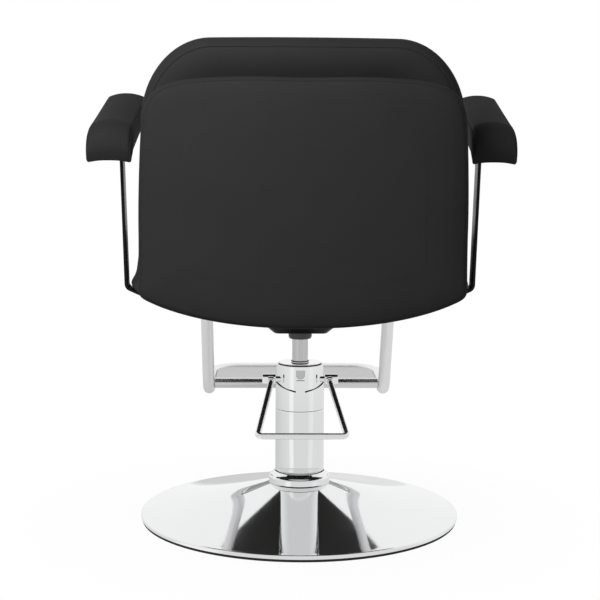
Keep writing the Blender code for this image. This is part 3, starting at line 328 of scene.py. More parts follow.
def eased_edges(piece, width, segments=3, angle=35.0):
    """Rounds the edges that turn by more than this angle."""
    bevel = piece.modifiers.new("eased_edges", "BEVEL")
    bevel.width, bevel.segments = width, segments
    bevel.limit_method, bevel.angle_limit = "ANGLE", radians(angle)
    bevel.harden_normals = True
    return settled(piece)


print("rings, skins and eased edges are ready")

# %% [markdown]
# ## Turned metal
# The base and the column are spun and turned parts: a profile swept round the Z axis. Real edges are never
# sharp, so every corner of a profile becomes a small arc, and a point is kept close to each end of an arc,
# because smooth shading would otherwise bend the mirror image across the whole flat beside it.

# %% Profiles with eased corners
ARC_STEPS, ARC_PULL, FLAT_SHARE = 5, 0.45, 0.42
SUPPORT, SUPPORT_SHARE = 0.0004, 0.3


def eased_profile(points, closed):
    """Rounds the corners of (r, z, radius) points; flats keep their own straight shading."""
    count = len(points)
    line = []
    for i, (r, z, radius) in enumerate(points):
        corner = Vector((r, z))
        if radius == 0.0 or (not closed and i in (0, count - 1)):
            line.append(corner)
            continue
        before = Vector(points[i - 1][:2]) - corner
        after = Vector(points[(i + 1) % count][:2]) - corner
        reach = min(radius, FLAT_SHARE * before.length, FLAT_SHARE * after.length)
        start, end = corner + before.normalized() * reach, corner + after.normalized() * reach
        pulls = [corner + (tip - corner) * ARC_PULL for tip in (start, end)]
        if before.length > 3 * reach:
            line.append(start + before.normalized() * min(SUPPORT, SUPPORT_SHARE * before.length))
        line += [Vector(p[:2]) for p in interpolate_bezier(start, *pulls, end, ARC_STEPS)]
        if after.length > 3 * reach:
            line.append(end + after.normalized() * min(SUPPORT, SUPPORT_SHARE * after.length))
    return line


def circle(radius, count):
    """Points (a, b) spaced evenly round a circle."""
    turns = [2 * pi * i / count for i in range(count)]
    return [(radius * cos(turn), radius * sin(turn)) for turn in turns]


def turned(name, points, finish, facets=128, closed=True):
    """A solid of revolution from (r, z, corner radius) points; r of 0 closes it on the axis."""
    rings = []
    for r, z in eased_profile(points, closed):
        rings.append([(a, b, z) for a, b in circle(r, facets)] if r > 1e-7 else [(0.0, 0.0, z)])
    return skinned(name, rings, finish, "joined" if closed else "capped")


def band(inner, outer, low, high, eased):
    """The profile of a plain ring; eased holds its corners' radii, from the low inner one on."""
    corners = ((inner, low), (outer, low), (outer, high), (inner, high))
    return [(*corner, radius) for corner, radius in zip(corners, eased)]


dish_low, dish_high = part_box("base_dish")
base_radius, z_lip = dish_high.x, dish_low.z
collar_low, collar_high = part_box("base_collar")
collar_radius = collar_high.x
column_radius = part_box("pump_cover")[1].x
print(f"base {base_radius * 2:.3f} m across, column {column_radius * 2:.3f} m")

# %% [markdown]
# ## The round base
# The dish is one steel disc, spun over a form and chromed: a slightly hollow cone with a rolled lip. It is
# drawn with many rings, because its long dark reflections show every facet. The collar that hides the hole
# round the column, the rubber edge and the ballast inside are turned in the same way. The photograph's column
# is cleaner than true mirrors would leave it, so a few pieces, the dish first, are kept out of mirror images.

# %% Dish, collar, rubber edge and ballast
DISH_RINGS, DISH_FACETS, DISH_HOLLOW, DISH_WALL = 28, 192, 0.25, 0.0025
LIP_HEIGHT, LIP_WIDTH, EDGE_WIDTH, BALLAST_GAP = 0.0075, 0.010, 0.022, 0.004
z_rim = z_lip + LIP_HEIGHT
dish_rise = dish_high.z - z_rim


def dish_line(drop):
    """The cone from its rim to the collar, lowered by drop."""
    outer, inner = base_radius - 0.0035, collar_radius - 0.003
    line = []
    for i in range(DISH_RINGS + 1):
        t = i / DISH_RINGS
        rise = dish_rise * ((1 - DISH_HOLLOW) * t + DISH_HOLLOW * t * t)
        line.append((outer + (inner - outer) * t, z_rim + rise - drop, 0.0))
    return line


lip_inner, hem_radius, hole_radius = base_radius - LIP_WIDTH, base_radius - DISH_WALL - 0.001, column_radius + 0.0015
lip = [(lip_inner, z_lip, 0.0008), (base_radius, z_lip, 0.0022), (base_radius, z_rim - 0.0005, 0.0034)]
hem = [(hem_radius, z_rim - 0.0035, 0.0), (hem_radius, z_lip + DISH_WALL, 0.0), (lip_inner, z_lip + DISH_WALL, 0.0)]
dish_hole = [(hole_radius, dish_high.z, 0.0), (hole_radius, dish_high.z - DISH_WALL, 0.0)]
dish_profile = lip + dish_line(0.0) + dish_hole + dish_line(DISH_WALL)[::-1] + hem
dish = turned("dish", dish_profile, chrome, DISH_FACETS)
dress(dish, "base", "chrome", "base_dish")

bore = column_radius + 0.0003
collar_profile = [
    (bore, collar_low.z, 0.0), (collar_radius, collar_low.z, 0.0012),
    (collar_radius, collar_low.z + 0.0115, 0.0022), (collar_radius - 0.0060, collar_low.z + 0.0149, 0.0060),
    (bore + 0.0012, collar_high.z, 0.0008), (bore, collar_high.z, 0.0),
]  # fmt: skip
dress(turned("collar", collar_profile, chrome), "base", "chrome", "base_collar")

edge_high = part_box("base_rubber")[1]
edge_profile = band(edge_high.x - EDGE_WIDTH, edge_high.x, 0.0, edge_high.z, (0.0005, 0.0012, 0.0012, 0.0005))
rubber_edge = turned("rubber_edge", edge_profile, rubber, DISH_FACETS)
dress(rubber_edge, "base", "rubber", "base_rubber")
ballast_low, ballast_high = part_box("ballast_plate")
ballast_span = (column_radius + BALLAST_GAP, ballast_high.x, ballast_low.z, ballast_high.z)
ballast = turned("ballast", band(*ballast_span, (0.0006, 0.0012, 0.0012, 0.0006)), cast_iron)
dress(ballast, "base", "cast_iron", "ballast_plate")
for piece in (dish, rubber_edge, ballast):
    piece.visible_glossy = False
print(f"dish of {len(dish.data.polygons)} faces")

# %% [markdown]
# ## The column and its cap
# Two chromed tubes stand on each other and hide the pump: the cover below, and the head with the pedal's
# shaft through it above. A hairline of shadow between them is the joint. A flat cap with a low boss closes the
# head over a thin black rubber ring that fills the shade under its rim, as painted shade. A dark rubber ring
# wipes the rod where it comes out, and the rod is ground.

# %% Column cover, cap, wiper and rod
cover_low, cover_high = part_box("pump_cover")
wall_inner = column_radius - 0.002
column_profile = band(wall_inner, column_radius, cover_low.z, cover_high.z, (0.0, 0.0, 0.0006, 0.0))
dress(turned("column", column_profile, chrome), "base", "chrome", "pump_cover")

head_low, head_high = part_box("head_cover")
cap_low, cap_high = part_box("head_cap")
rod_low, rod_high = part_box("piston_rod")
cap_radius, rod_radius = cap_high.x, rod_high.x
boss_radius, boss_top, rod_play = rod_radius + 0.0012, cap_high.z, rod_radius + 0.0003
cap_neck, cap_foot = cap_radius - 0.0012, head_high.z + 0.0010
cap_profile = [
    (rod_play, cap_low.z, 0.0), (cap_neck, cap_low.z, 0.0), (cap_neck, cap_foot, 0.0), (cap_radius, cap_foot, 0.0002),
    (cap_radius, head_high.z + 0.0020, 0.0006), (boss_radius, head_high.z + 0.0022, 0.0004),
    (boss_radius, boss_top, 0.0003), (rod_play, boss_top, 0.0),
]  # fmt: skip
dress(turned("cap", cap_profile, chrome), "base", "chrome", "head_cap")
# painted shade: a black rubber ring fills the shadow gap under the cap's rim
shade_ring_span = (cap_radius - 0.0011, cap_radius - 0.0002, head_high.z - 0.0020, head_high.z + 0.0009)
dress(turned("cap_shade_ring", band(*shade_ring_span, (0.0, 0.0, 0.0002, 0.0)), rubber), "base", "rubber")

wiper_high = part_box("rod_wiper")[1]
wiper_profile = [
    (rod_play, boss_top + 0.0001, 0.0), (rod_radius + 0.0019, boss_top + 0.0001, 0.0003),
    (rod_radius + 0.0017, wiper_high.z, 0.0005), (rod_play, wiper_high.z, 0.0002),
]  # fmt: skip
dress(turned("wiper", wiper_profile, rubber), "base", "rubber", "rod_wiper")
rod_profile = band(0.0, rod_radius, rod_low.z, rod_high.z, (0.0, 0.0008, 0.0018, 0.0))
dress(turned("rod", rod_profile, ground_steel, closed=False), "ram", "chrome", "piston_rod")

# %% [markdown]
# ## The head with its openings
# The head is a tube with a slot at the rear and a hole at each side for the shaft. Cutting a turned mesh
# leaves long slivers that would spoil the mirror, so the outer skin gets its normals from the cylinder
# itself afterwards: they point straight away from the axis, whatever the cut left behind. A thin steel plate
# closes the slot from inside, because an open one would look black.

# %% Head cover and the plate in its slot
SHAFT_RADIUS, SHAFT_HOLE, HOLE_POINTS = 0.005, 0.0051, 32
NOTCH_HALF, NOTCH_DEPTH, NOTCH_WEB, NOTCH_STEPS = 0.00825, 0.0170, 0.0030, 16
SHARP_TURN = 40
shaft_low, shaft_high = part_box("pedal_shaft")
shaft_y, z_shaft = (shaft_low.y + shaft_high.y) / 2, (shaft_low.z + shaft_high.z) / 2
z_ledge = cap_low.z - 0.0003
head_radius = head_high.x
head_wall = head_radius - 0.002
ledge_outer, ledge_inner = cap_radius + 0.0003, cap_radius - 0.003
head_profile = [
    (head_wall, head_low.z, 0.0), (head_radius, head_low.z, 0.0006), (head_radius, head_high.z, 0.0028),
    (ledge_outer, head_high.z, 0.0009), (ledge_outer, z_ledge, 0.0), (ledge_inner, z_ledge, 0.0),
    (ledge_inner, z_ledge - 0.002, 0.0), (head_wall, z_ledge - 0.002, 0.0),
]  # fmt: skip
head = turned("head", head_profile, chrome)


def cut(target, rings):
    """Takes the solid inside these rings out of a piece."""
    cutter = skinned("cutter", rings, chrome)
    knife = target.modifiers.new("knife", "BOOLEAN")
    knife.operation, knife.solver, knife.object = "DIFFERENCE", "EXACT", cutter
    settled(target)
    bpy.data.objects.remove(cutter)


notch_top = z_ledge - NOTCH_WEB
notch_foot = notch_top - NOTCH_DEPTH
notch = [(NOTCH_HALF, notch_top), (-NOTCH_HALF, notch_top)]
for i in range(NOTCH_STEPS + 1):
    turn = pi * (1 + i / NOTCH_STEPS)
    notch.append((NOTCH_HALF * cos(turn), notch_foot + NOTCH_HALF * (1 + sin(turn))))
outside = 1.2 * column_radius
cut(head, [[(x, y, z) for x, z in notch] for y in (0.8 * wall_inner, outside)])
hole = [(shaft_y + a, z_shaft + b) for a, b in circle(SHAFT_HOLE, HOLE_POINTS)]
cut(head, [[(x, y, z) for y, z in hole] for x in (-outside, outside)])


def round_normals(mesh, radius):
    """Normals that point away from the Z axis on the faces of a cylinder of this radius."""
    normals = []
    for face in mesh.polygons:
        points = [mesh.vertices[i].co for i in face.vertices]
        on_wall = all(abs(p.to_2d().length - radius) < 2e-5 for p in points)
        for loop, point in zip(face.loop_indices, points):
            round_way = Vector((point.x, point.y, 0.0)).normalized()
            normals.append(round_way if on_wall else mesh.corner_normals[loop].vector.copy())
    mesh.normals_split_custom_set(normals)


def from_rear(degrees, strip, lift=0.0):
    """An (r, z) strip, raised by lift and turned this far from the rear about the Z axis."""
    turn = radians(90 + degrees)
    return [(r * cos(turn), r * sin(turn), lift + z) for r, z in strip]


for face in head.data.polygons:
    face.use_smooth = True
head.data.set_sharp_from_angle(angle=radians(SHARP_TURN))
round_normals(head.data, head_radius)
dress(head, "base", "chrome", "head_cover")
plate_back, plate_face = head_wall - 0.0012, head_wall - 0.0003
slot_low, slot_high = notch_foot - 0.002, notch_top + 0.001
slot_strip = [(plate_back, slot_low), (plate_face, slot_low), (plate_face, slot_high), (plate_back, slot_high)]
slot_rings = [from_rear(degrees, slot_strip) for degrees in range(-16, 17, 2)]
dress(skinned("slot_plate", slot_rings, ground_steel, sharp=SHARP_TURN), "base", "chrome")
print(f"head of {len(head.data.polygons)} faces with a slot and two holes")

# %% [markdown]
# ## The sleeve
# A thin sleeve goes round the lower half of the head. Its edge rises from the rear to the sides, with a tongue
# under the slot, and a strip of black rubber above the edge draws the shadow line there: painted shade. Both are
# one strip set angle by angle.

# %% Sleeve and its rubber strip of painted shade
SLEEVE_GAUGE, SLEEVE_REAR, SLEEVE_SIDE, SLEEVE_FRONT = 0.0012, 0.0361, 0.0481, 0.0489
SIDE_SPAN, FRONT_START, FRONT_SPAN = 60, 70, 110
TONGUE_EDGE, TONGUE_ROUND, TONGUE_FILLET = 10.5, 1.6, 0.0013
STRIP_WIDE, STRIP_LOSS, STRIP_THIN_AT, STRIP_SPREAD = 0.0021, 0.0013, 38, 14
tongue_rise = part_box("head_sleeve")[1].z - head_low.z


def sleeve_rise(degrees):
    """Height of the sleeve's edge at this angle from the rear."""
    past = (degrees - TONGUE_EDGE) / TONGUE_ROUND
    t = max(0.0, past + 1 if past < 0 else 1 - past)
    fillet = TONGUE_FILLET * (1 - sqrt(1 - t * t))
    if past < 0:
        return tongue_rise - fillet
    to_side = min(1.0, (degrees - TONGUE_EDGE) / SIDE_SPAN)
    to_front = max(0.0, (degrees - FRONT_START) / FRONT_SPAN)
    return SLEEVE_REAR + fillet + (SLEEVE_SIDE - SLEEVE_REAR) * to_side + (SLEEVE_FRONT - SLEEVE_SIDE) * to_front


def shade_strip_width(degrees):
    """The painted shade line of rubber shows wide beside the tongue and at the sides, and thin between."""
    return STRIP_WIDE - STRIP_LOSS * exp(-(((degrees - STRIP_THIN_AT) / STRIP_SPREAD) ** 2))


angles = [0.0, 2.0, 4.0, 6.0, 8.0] + [TONGUE_EDGE + 0.2 * i for i in range(-9, 10)]
angles += [14.0 + 2.0 * i for i in range(84)]
edge_line = [(degrees, sleeve_rise(degrees)) for degrees in angles]
edge_line += [(-degrees, rise) for degrees, rise in edge_line[-2:0:-1]]
sleeve_inner, sleeve_lip = column_radius - SLEEVE_GAUGE, column_radius - 0.0002
strip_inner, strip_outer = head_radius + 0.0002, column_radius - 0.0007
strip_limit = z_shaft - 0.0060 - head_low.z
sleeve_rings, shade_strip_rings = [], []
for degrees, rise in edge_line:
    strip = [(sleeve_inner, 0.0), (sleeve_lip, 0.0), (column_radius, 0.0004), (column_radius, rise - 0.0010)]
    strip += [(column_radius, rise - 0.0005), (sleeve_lip, rise - 0.0001)]
    strip += [(column_radius - 0.0006, rise), (sleeve_inner, rise)]
    sleeve_rings.append(from_rear(degrees, strip, head_low.z))
    # painted shade: the rubber strip above the edge stands in for the shadow line there
    low, top = rise + 0.0001, rise + (shade_strip_width(abs(degrees)) if abs(degrees) > TONGUE_EDGE else 0.0006)
    top = max(rise + 0.0004, min(top, strip_limit))
    strip = [(strip_inner, low), (strip_outer, low), (strip_outer, top), (strip_inner, top)]
    shade_strip_rings.append(from_rear(degrees, strip, head_low.z))
sleeve = skinned("sleeve", sleeve_rings, chrome, "joined", sharp=60)
round_normals(sleeve.data, column_radius)
dress(sleeve, "base", "chrome", "head_sleeve")
# the strip of painted shade, in black rubber
dress(skinned("sleeve_shade_strip", shade_strip_rings, rubber, "joined", sharp=SHARP_TURN), "base", "rubber")
print(f"sleeve and rubber at {len(edge_line)} angles")

# %% [markdown]
# ## Bent tube and rod
# The pedal and the footrest are bent from round stock. A path with true arcs at its corners is swept with a
# ring of points that is carried along without twisting, and the ends are rounded off.

# %% Paths and tubes


def rounded_path(points, bends, steps):
    """A polyline with an arc of the given radius at each inner corner."""
    points = [Vector(p) for p in points]
    path = [points[0]]
    for before, corner, after, radius in zip(points, points[1:], points[2:], bends):
        to_before, to_after = (before - corner).normalized(), (after - corner).normalized()
        half = to_before.angle(to_after) / 2
        centre = corner + (to_before + to_after).normalized() * (radius / sin(half))
        start = corner + to_before * (radius / tan(half)) - centre
        end = corner + to_after * (radius / tan(half)) - centre
        sweep = start.angle(end)
        for i in range(steps + 1):
            share = i / steps
            blend = start * sin((1 - share) * sweep) + end * sin(share * sweep)
            path.append(centre + blend / sin(sweep))
    path.append(points[-1])
    return path


def supported(path, reach):
    """Adds a point on each long straight near its ends, so that only the bends shade as bends."""
    line = []
    for a, b in zip(path, path[1:]):
        line.append(a)
        if (b - a).length > 4 * reach:
            line += [a + (b - a).normalized() * reach, b - (b - a).normalized() * reach]
    return line + [path[-1]]


def tube(name, path, radius, finish, around=28, ends=((0.0, 0.8), (0.2, 1.0))):
    """Sweeps a circle along a path; ends are (reach, scale) pairs that round the two ends off."""
    ahead = [(b - a).normalized() for a, b in zip(path, path[1:])]
    tangents = [ahead[0]] + [(a + b).normalized() for a, b in zip(ahead, ahead[1:])] + [ahead[-1]]
    side = tangents[0].orthogonal().normalized()
    rings = []
    for i, (point, tangent) in enumerate(zip(path, tangents)):
        side = (side - tangent * side.dot(tangent)).normalized()
        other = tangent.cross(side)
        spots = [(point, 1.0)]
        if i == 0:
            spots = [(point + tangent * reach * radius, scale) for reach, scale in ends]
        elif i == len(path) - 1:
            spots = [(point - tangent * reach * radius, scale) for reach, scale in reversed(ends)]
        for spot, scale in spots:
            rings.append([spot + (side * a + other * b) * radius * scale for a, b in circle(1.0, around)])
    return skinned(name, rings, finish)


print("tubes follow paths with true arcs")

# %% [markdown]
# ## The pedal
# The pedal is one loop of rod. Two arms come straight out of the shaft's blocks, slope down towards the rear and
# spread a little, and a bar joins them. It is one of the pieces that mirrors don't show.

# %% Pedal loop
PEDAL_ROD = 0.0055
PEDAL_TOP, PEDAL_BAR = 0.0548, 0.0785
PEDAL_REACH, PEDAL_DROP, PEDAL_BENDS = 0.205, 0.0675, [0.016, 0.008]
block_rear = shaft_high.y
z_rods = z_shaft - 0.002
pedal_corners = [
    (PEDAL_TOP, block_rear - 0.011, z_rods),
    (PEDAL_TOP, block_rear + 0.024, z_rods),
    (PEDAL_BAR, PEDAL_REACH, z_rods - PEDAL_DROP),
]
pedal_corners += [(-x, y, z) for x, y, z in reversed(pedal_corners)]
pedal_path = supported(rounded_path(pedal_corners, PEDAL_BENDS + PEDAL_BENDS[::-1], 14), 0.002)
pedal = tube("pedal_loop", pedal_path, PEDAL_ROD, rolled)
dress(pedal, "pedal", "chrome", "pedal_rod")
pedal.visible_glossy = False
print(f"pedal loop of {len(pedal_path)} points")

# %% [markdown]
# ## Shaft blocks and ferrules
# The cross shaft ends in two square blocks that hold the pedal's rods, and a ferrule closes each socket, all
# chromed. Square stock with eased edges and a round shaft between them is one row of rings.

# %% Shaft and ferrules
SIDES = (("left", 1), ("right", -1))
BLOCK_EDGE, FERRULE_FACETS = 0.0060, 40
BLOCK_EASING = ((0.0012, 0.0), (0.0004, 0.0004), (0.0, 0.0012))


def rounded_rectangle(half_a, half_b, corner, steps=5):
    """Points (a, b) round a rectangle with round corners."""
    outline = []
    for sa, sb, start in ((1, 1, 0), (-1, 1, 90), (-1, -1, 180), (1, -1, 270)):
        for i in range(steps + 1):
            turn = radians(start + 90 * i / steps)
            a = sa * (half_a - corner) + corner * cos(turn)
            outline.append((a, sb * (half_b - corner) + corner * sin(turn)))
    return outline


def paired_circle(radius, half, corner, steps=5):
    """A circle whose points pair up with those of a rounded rectangle."""
    return [Vector(point).normalized() * radius for point in rounded_rectangle(half, half, corner, steps)]


block_half = ((shaft_high.y - shaft_low.y) / 2, (shaft_high.z - shaft_low.z) / 2)
block_start = column_radius - 0.0005
shaft_stations = [(shrink, shaft_high.x - x) for shrink, x in BLOCK_EASING]
shaft_stations += [(shrink, block_start + x) for shrink, x in reversed(BLOCK_EASING)]
half_rings = []
for shrink, x in shaft_stations:
    outline = rounded_rectangle(block_half[0] - shrink, block_half[1] - shrink, BLOCK_EDGE)
    half_rings.append([(x, shaft_y + a, z_shaft + b) for a, b in outline])
round_shaft = paired_circle(SHAFT_RADIUS, 0.01, 0.00999)
half_rings.append([(block_start, shaft_y + a, z_shaft + b) for a, b in round_shaft])
shaft_rings = half_rings + [[(-x, y, z) for x, y, z in ring] for ring in reversed(half_rings)]
shaft = skinned("cross_shaft", shaft_rings, chrome, sharp=50)
dress(shaft, "pedal", "chrome", "pedal_shaft")
shaft.visible_glossy = False

ferrule_inner, ferrule_outer, ferrule_foot = PEDAL_ROD + 0.0003, PEDAL_ROD + 0.0031, block_rear + 0.0003
ferrule_profile = [
    (ferrule_inner, ferrule_foot, 0.0), (ferrule_outer, ferrule_foot, 0.0004),
    (ferrule_outer, block_rear + 0.0052, 0.0012), (ferrule_inner, block_rear + 0.0066, 0.0004),
]  # fmt: skip
for side, sx in SIDES:
    rings = []
    for r, y in eased_profile(ferrule_profile, True):
        rings.append([(sx * PEDAL_TOP + a, y, z_rods + b) for a, b in circle(r, FERRULE_FACETS)])
    dress(skinned(f"ferrule_{side}", rings, chrome, "joined"), "pedal", "chrome", f"pedal_ferrule_{side}")
print("cross shaft with two blocks and ferrules")

# %% [markdown]
# ## The return spring
# A small spring inside the head pushes the plunger up again. It is a helix of wire.

# %% Return spring
SPRING_WIRE, SPRING_TURNS, TURN_STEPS, PLUNGER_STROKE = 0.0005, 5, 24, 0.0055
spring_low, spring_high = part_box("plunger_spring")
coil = spring_high.x - SPRING_WIRE
spring_y, spring_tall = (spring_low.y + spring_high.y) / 2, spring_high.z - spring_low.z
spring_rise = spring_tall - 2 * SPRING_WIRE
helix = []
for i in range(TURN_STEPS * SPRING_TURNS + 1):
    turn = 2 * pi * i / TURN_STEPS
    level = spring_low.z + SPRING_WIRE + spring_rise * i / (TURN_STEPS * SPRING_TURNS)
    helix.append(Vector((coil * cos(turn), spring_y + coil * sin(turn), level)))
spring = tube("return_spring", helix, SPRING_WIRE, zinc, 10)
dress(spring, "base", "zinc", "plunger_spring")
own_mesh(spring)
print(f"spring {spring_tall * 1000:.1f} mm tall")

# %% [markdown]
# ## The footrest
# One long tube comes down from the seat at both sides and makes a loop in front, with a cross bar at its
# lower bend and a plate for the feet in the loop. Its places are those of the solids it stands for, but its
# lower bends hang a little lower, as the photograph shows them.

# %% Footrest tube, cross bar, plate and flanges
FOOT_TUBE, FOOT_HALF, FOOT_FRONT = 0.0125, 0.186, -0.550
FOOT_BEND, FOOT_CORNER, FOOT_SLANT, FOOT_DIP = 0.050, 0.060, 0.504, 0.009
foot_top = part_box("footrest_frame")[1].z
foot_z, foot_y, foot_knee = 0.192, -0.2175, foot_top - 0.025
foot_bend_z = foot_z - FOOT_DIP
foot_low_y = foot_y - (foot_knee - foot_bend_z) * FOOT_SLANT
foot_corners = [
    (FOOT_HALF, foot_y, foot_top), (FOOT_HALF, foot_y, foot_knee),
    (FOOT_HALF, foot_low_y, foot_bend_z), (FOOT_HALF, FOOT_FRONT, foot_z),
]  # fmt: skip
foot_corners += [(-x, y, z) for x, y, z in reversed(foot_corners)]
foot_bends = [FOOT_BEND, FOOT_BEND, FOOT_CORNER]
foot_path = supported(rounded_path(foot_corners, foot_bends + foot_bends[::-1], 18), 0.004)
footrest = tube("footrest_tube", foot_path, FOOT_TUBE, matt, 36, ((0.0, 0.999), (0.05, 1.0)))
dress(footrest, "chair", "chrome", "footrest_frame")

bar_low, bar_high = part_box("footrest_crossbar")
bar_ends = [Vector((x, (bar_low.y + bar_high.y) / 2, (bar_low.z + bar_high.z) / 2)) for x in (bar_low.x, bar_high.x)]
bar_radius = (bar_high.z - bar_low.z) / 2
crossbar = tube("footrest_bar", supported(bar_ends, 0.002), bar_radius, satin, 36, ((0.0, 0.97), (0.1, 1.0)))
dress(crossbar, "chair", "chrome", "footrest_crossbar")

tread_low, tread_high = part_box("footrest_plate")
tread_corner = FOOT_CORNER - FOOT_TUBE
tread = [(tread_high.x, tread_high.y), (-tread_high.x, tread_high.y)]
for sx, start in ((-1, 180), (1, 270)):
    for i in range(15):
        turn = radians(start + 90 * i / 14)
        x = sx * (tread_high.x - tread_corner) + tread_corner * cos(turn)
        tread.append((x, tread_low.y + tread_corner * (1 + sin(turn))))
tread_plate = skinned("footrest_tread", [[(x, y, z) for x, y in tread] for z in (tread_low.z, tread_high.z)], darker_satin)
dress(eased_edges(tread_plate, 0.0005), "chair", "chrome", "footrest_plate")

for side in ("left", "right"):
    low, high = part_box(f"footrest_flange_{side}")
    middle, half = (low + high) / 2, (high - low) / 2
    outline = rounded_rectangle(half.x, half.y, 0.006, 6)
    rings = [[(middle.x + a, middle.y + b, z) for a, b in outline] for z in (low.z, high.z)]
    flange = eased_edges(skinned(f"flange_{side}", rings, chrome), 0.0008)
    dress(flange, "chair", "chrome", f"footrest_flange_{side}")
print(f"footrest reaches {-FOOT_FRONT + FOOT_TUBE:.3f} m in front of the column")

# %% [markdown]
# ## Flat bars
# The arms and the back hang on bars of 40 by 6 mm steel, bent cold and enamelled. A rounded rectangle is
# swept along the bend, and at the back it follows the curve of the board.

# %% Bars of the back
BAR_WIDTH, BAR_THICKNESS, BAR_EDGE = 0.040, 0.006, 0.0014
TOUCH = 0.0003
BACK_Y, BACK_Z, BACK_LEAN, BACK_CURVE = 0.205, 0.3922, radians(7.0), 1.2
LAYER = 0.0012


def sag(x):
    """How far the back's curve comes forward at this distance from its middle."""
    return BACK_CURVE - sqrt(BACK_CURVE**2 - x**2)


def back_point(u, v, w):
    """Across, up and rearwards in the leaning back, which curves forward towards its sides."""
    y = BACK_Y + v * sin(BACK_LEAN) + w * cos(BACK_LEAN) - sag(u)
    return Vector((u, y, BACK_Z + v * cos(BACK_LEAN) - w * sin(BACK_LEAN)))


def swept_bar(name, path, place):
    """Sweeps the bar's section along a flat path; place(a, b, across) gives the point in space."""
    section = rounded_rectangle(BAR_THICKNESS / 2, BAR_WIDTH / 2, BAR_EDGE, 4)
    rings = []
    for i, point in enumerate(path):
        ahead = path[min(i + 1, len(path) - 1)] - path[max(i - 1, 0)]
        normal = Vector((-ahead[1], ahead[0])).normalized()
        rings.append([place(*(point + normal * a), b) for a, b in section])
    return skinned(name, rings, enamel, sharp=60)


z_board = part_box("seat_board")[0].z
z_bar = z_board - TOUCH - BAR_THICKNESS / 2
BACK_BAR_X, BACK_BAR_START, BACK_BAR_TOP = 0.130, 0.050, 0.240
bar_w = -(LAYER + BAR_THICKNESS / 2)
low_point, top_point = back_point(0.0, 0.0, bar_w), back_point(0.0, BACK_BAR_TOP, bar_w)
corner_y = low_point.y + (z_bar - low_point.z) * tan(BACK_LEAN)
back_path = rounded_path([(BACK_BAR_START, z_bar), (corner_y, z_bar), (top_point.y, top_point.z)], [0.015], 12)
back_path = supported(back_path, 0.003)


def on_back(middle):
    """Where the points of a back bar go whose middle stands at this x."""
    return lambda a, b, across: (middle + across, a - sag(middle + across), b)


for side, sx in SIDES:
    bar = swept_bar(f"back_bar_{side}", back_path, on_back(sx * BACK_BAR_X))
    dress(bar, "chair", "black_paint", f"back_bracket_{side}")

print(f"bars {BAR_WIDTH * 1000:.0f} by {BAR_THICKNESS * 1000:.0f} mm")

# %% [markdown]
# ## Arm bars
# An arm bar runs out under the seat, bends upwards beside it and leans out a little. Its upper end lies against
# the arm's board, which is bent in flat facets, so the end takes its height from the board.

# %% Bars of the arms
ARM_ARC, ARM_CREST_Y, ARM_CREST_Z, ARM_THICKNESS = 0.580, -0.211, 0.8005, 0.045
ARM_REAR, ARM_FRONT, ARM_FACETS = radians(29.5), radians(-4.0), 8
ARM_BAR_Y, ARM_LEAN, KNEE_X, KNEE_RISE = -0.030, 0.030, 0.3273, 0.0263
ARM_FOOT_INNER, ARM_FOOT_OUTER = 0.2000, 0.2671
board_low = ARM_ARC - ARM_THICKNESS - TOUCH - 0.004
facet_radius = board_low * cos((ARM_REAR - ARM_FRONT) / ARM_FACETS / 2)


def arm_board_z(y):
    """Height of the arm board's underside at this y."""
    return ARM_CREST_Z - ARM_ARC + sqrt(facet_radius**2 - (y - ARM_CREST_Y) ** 2)


arm_top = arm_board_z(ARM_BAR_Y)
arm_top_x = KNEE_X + ARM_LEAN * (arm_top - z_bar - KNEE_RISE)
arm_path = rounded_path(
    [(ARM_FOOT_INNER, z_bar), (ARM_FOOT_OUTER, z_bar), (KNEE_X, z_bar + KNEE_RISE), (arm_top_x, arm_top)],
    [0.012, 0.012],
    12,
)
arm_path = supported(arm_path, 0.003)


def on_arm(sx):
    """Where the points of an arm bar go; its top end lies along the board."""

    def place(a, b, across):
        y = ARM_BAR_Y + across
        return (sx * a, y, arm_board_z(y) - TOUCH if b > arm_top - 0.002 else b)

    return place


for side, sx in SIDES:
    dress(swept_bar(f"arm_bar_{side}", arm_path, on_arm(sx)), "chair", "black_paint", f"arm_bracket_{side}")
print(f"arm bars rise {arm_top - z_bar:.3f} m")

# %% [markdown]
# ## The seat plate
# The plate under the seat is pressed from sheet: a tray with sloping walls and a flange, with a hole for the
# hub. The hub is a dark casting that turns on the rod.

# %% Seat plate and swivel hub
PLATE_GAUGE, PLATE_CHAMFER, HUB_NECK = 0.003, 0.013, 0.020
PLATE_BOTTOM, PLATE_WALL, PLATE_FLANGE = (0.0485, 0.044), (0.0625, 0.058), (0.102, 0.094)
plate_low, plate_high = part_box("seat_plate")
PLATE_SAG = 0.0025
z_plate, z_flange_top = plate_low.z - PLATE_SAG, plate_high.z


def plate_ring(half, shrink, corner, level):
    """A rounded rectangle at this height, drawn in by shrink."""
    return [(x, y, level) for x, y in rounded_rectangle(half[0] - shrink, half[1] - shrink, corner, 8)]


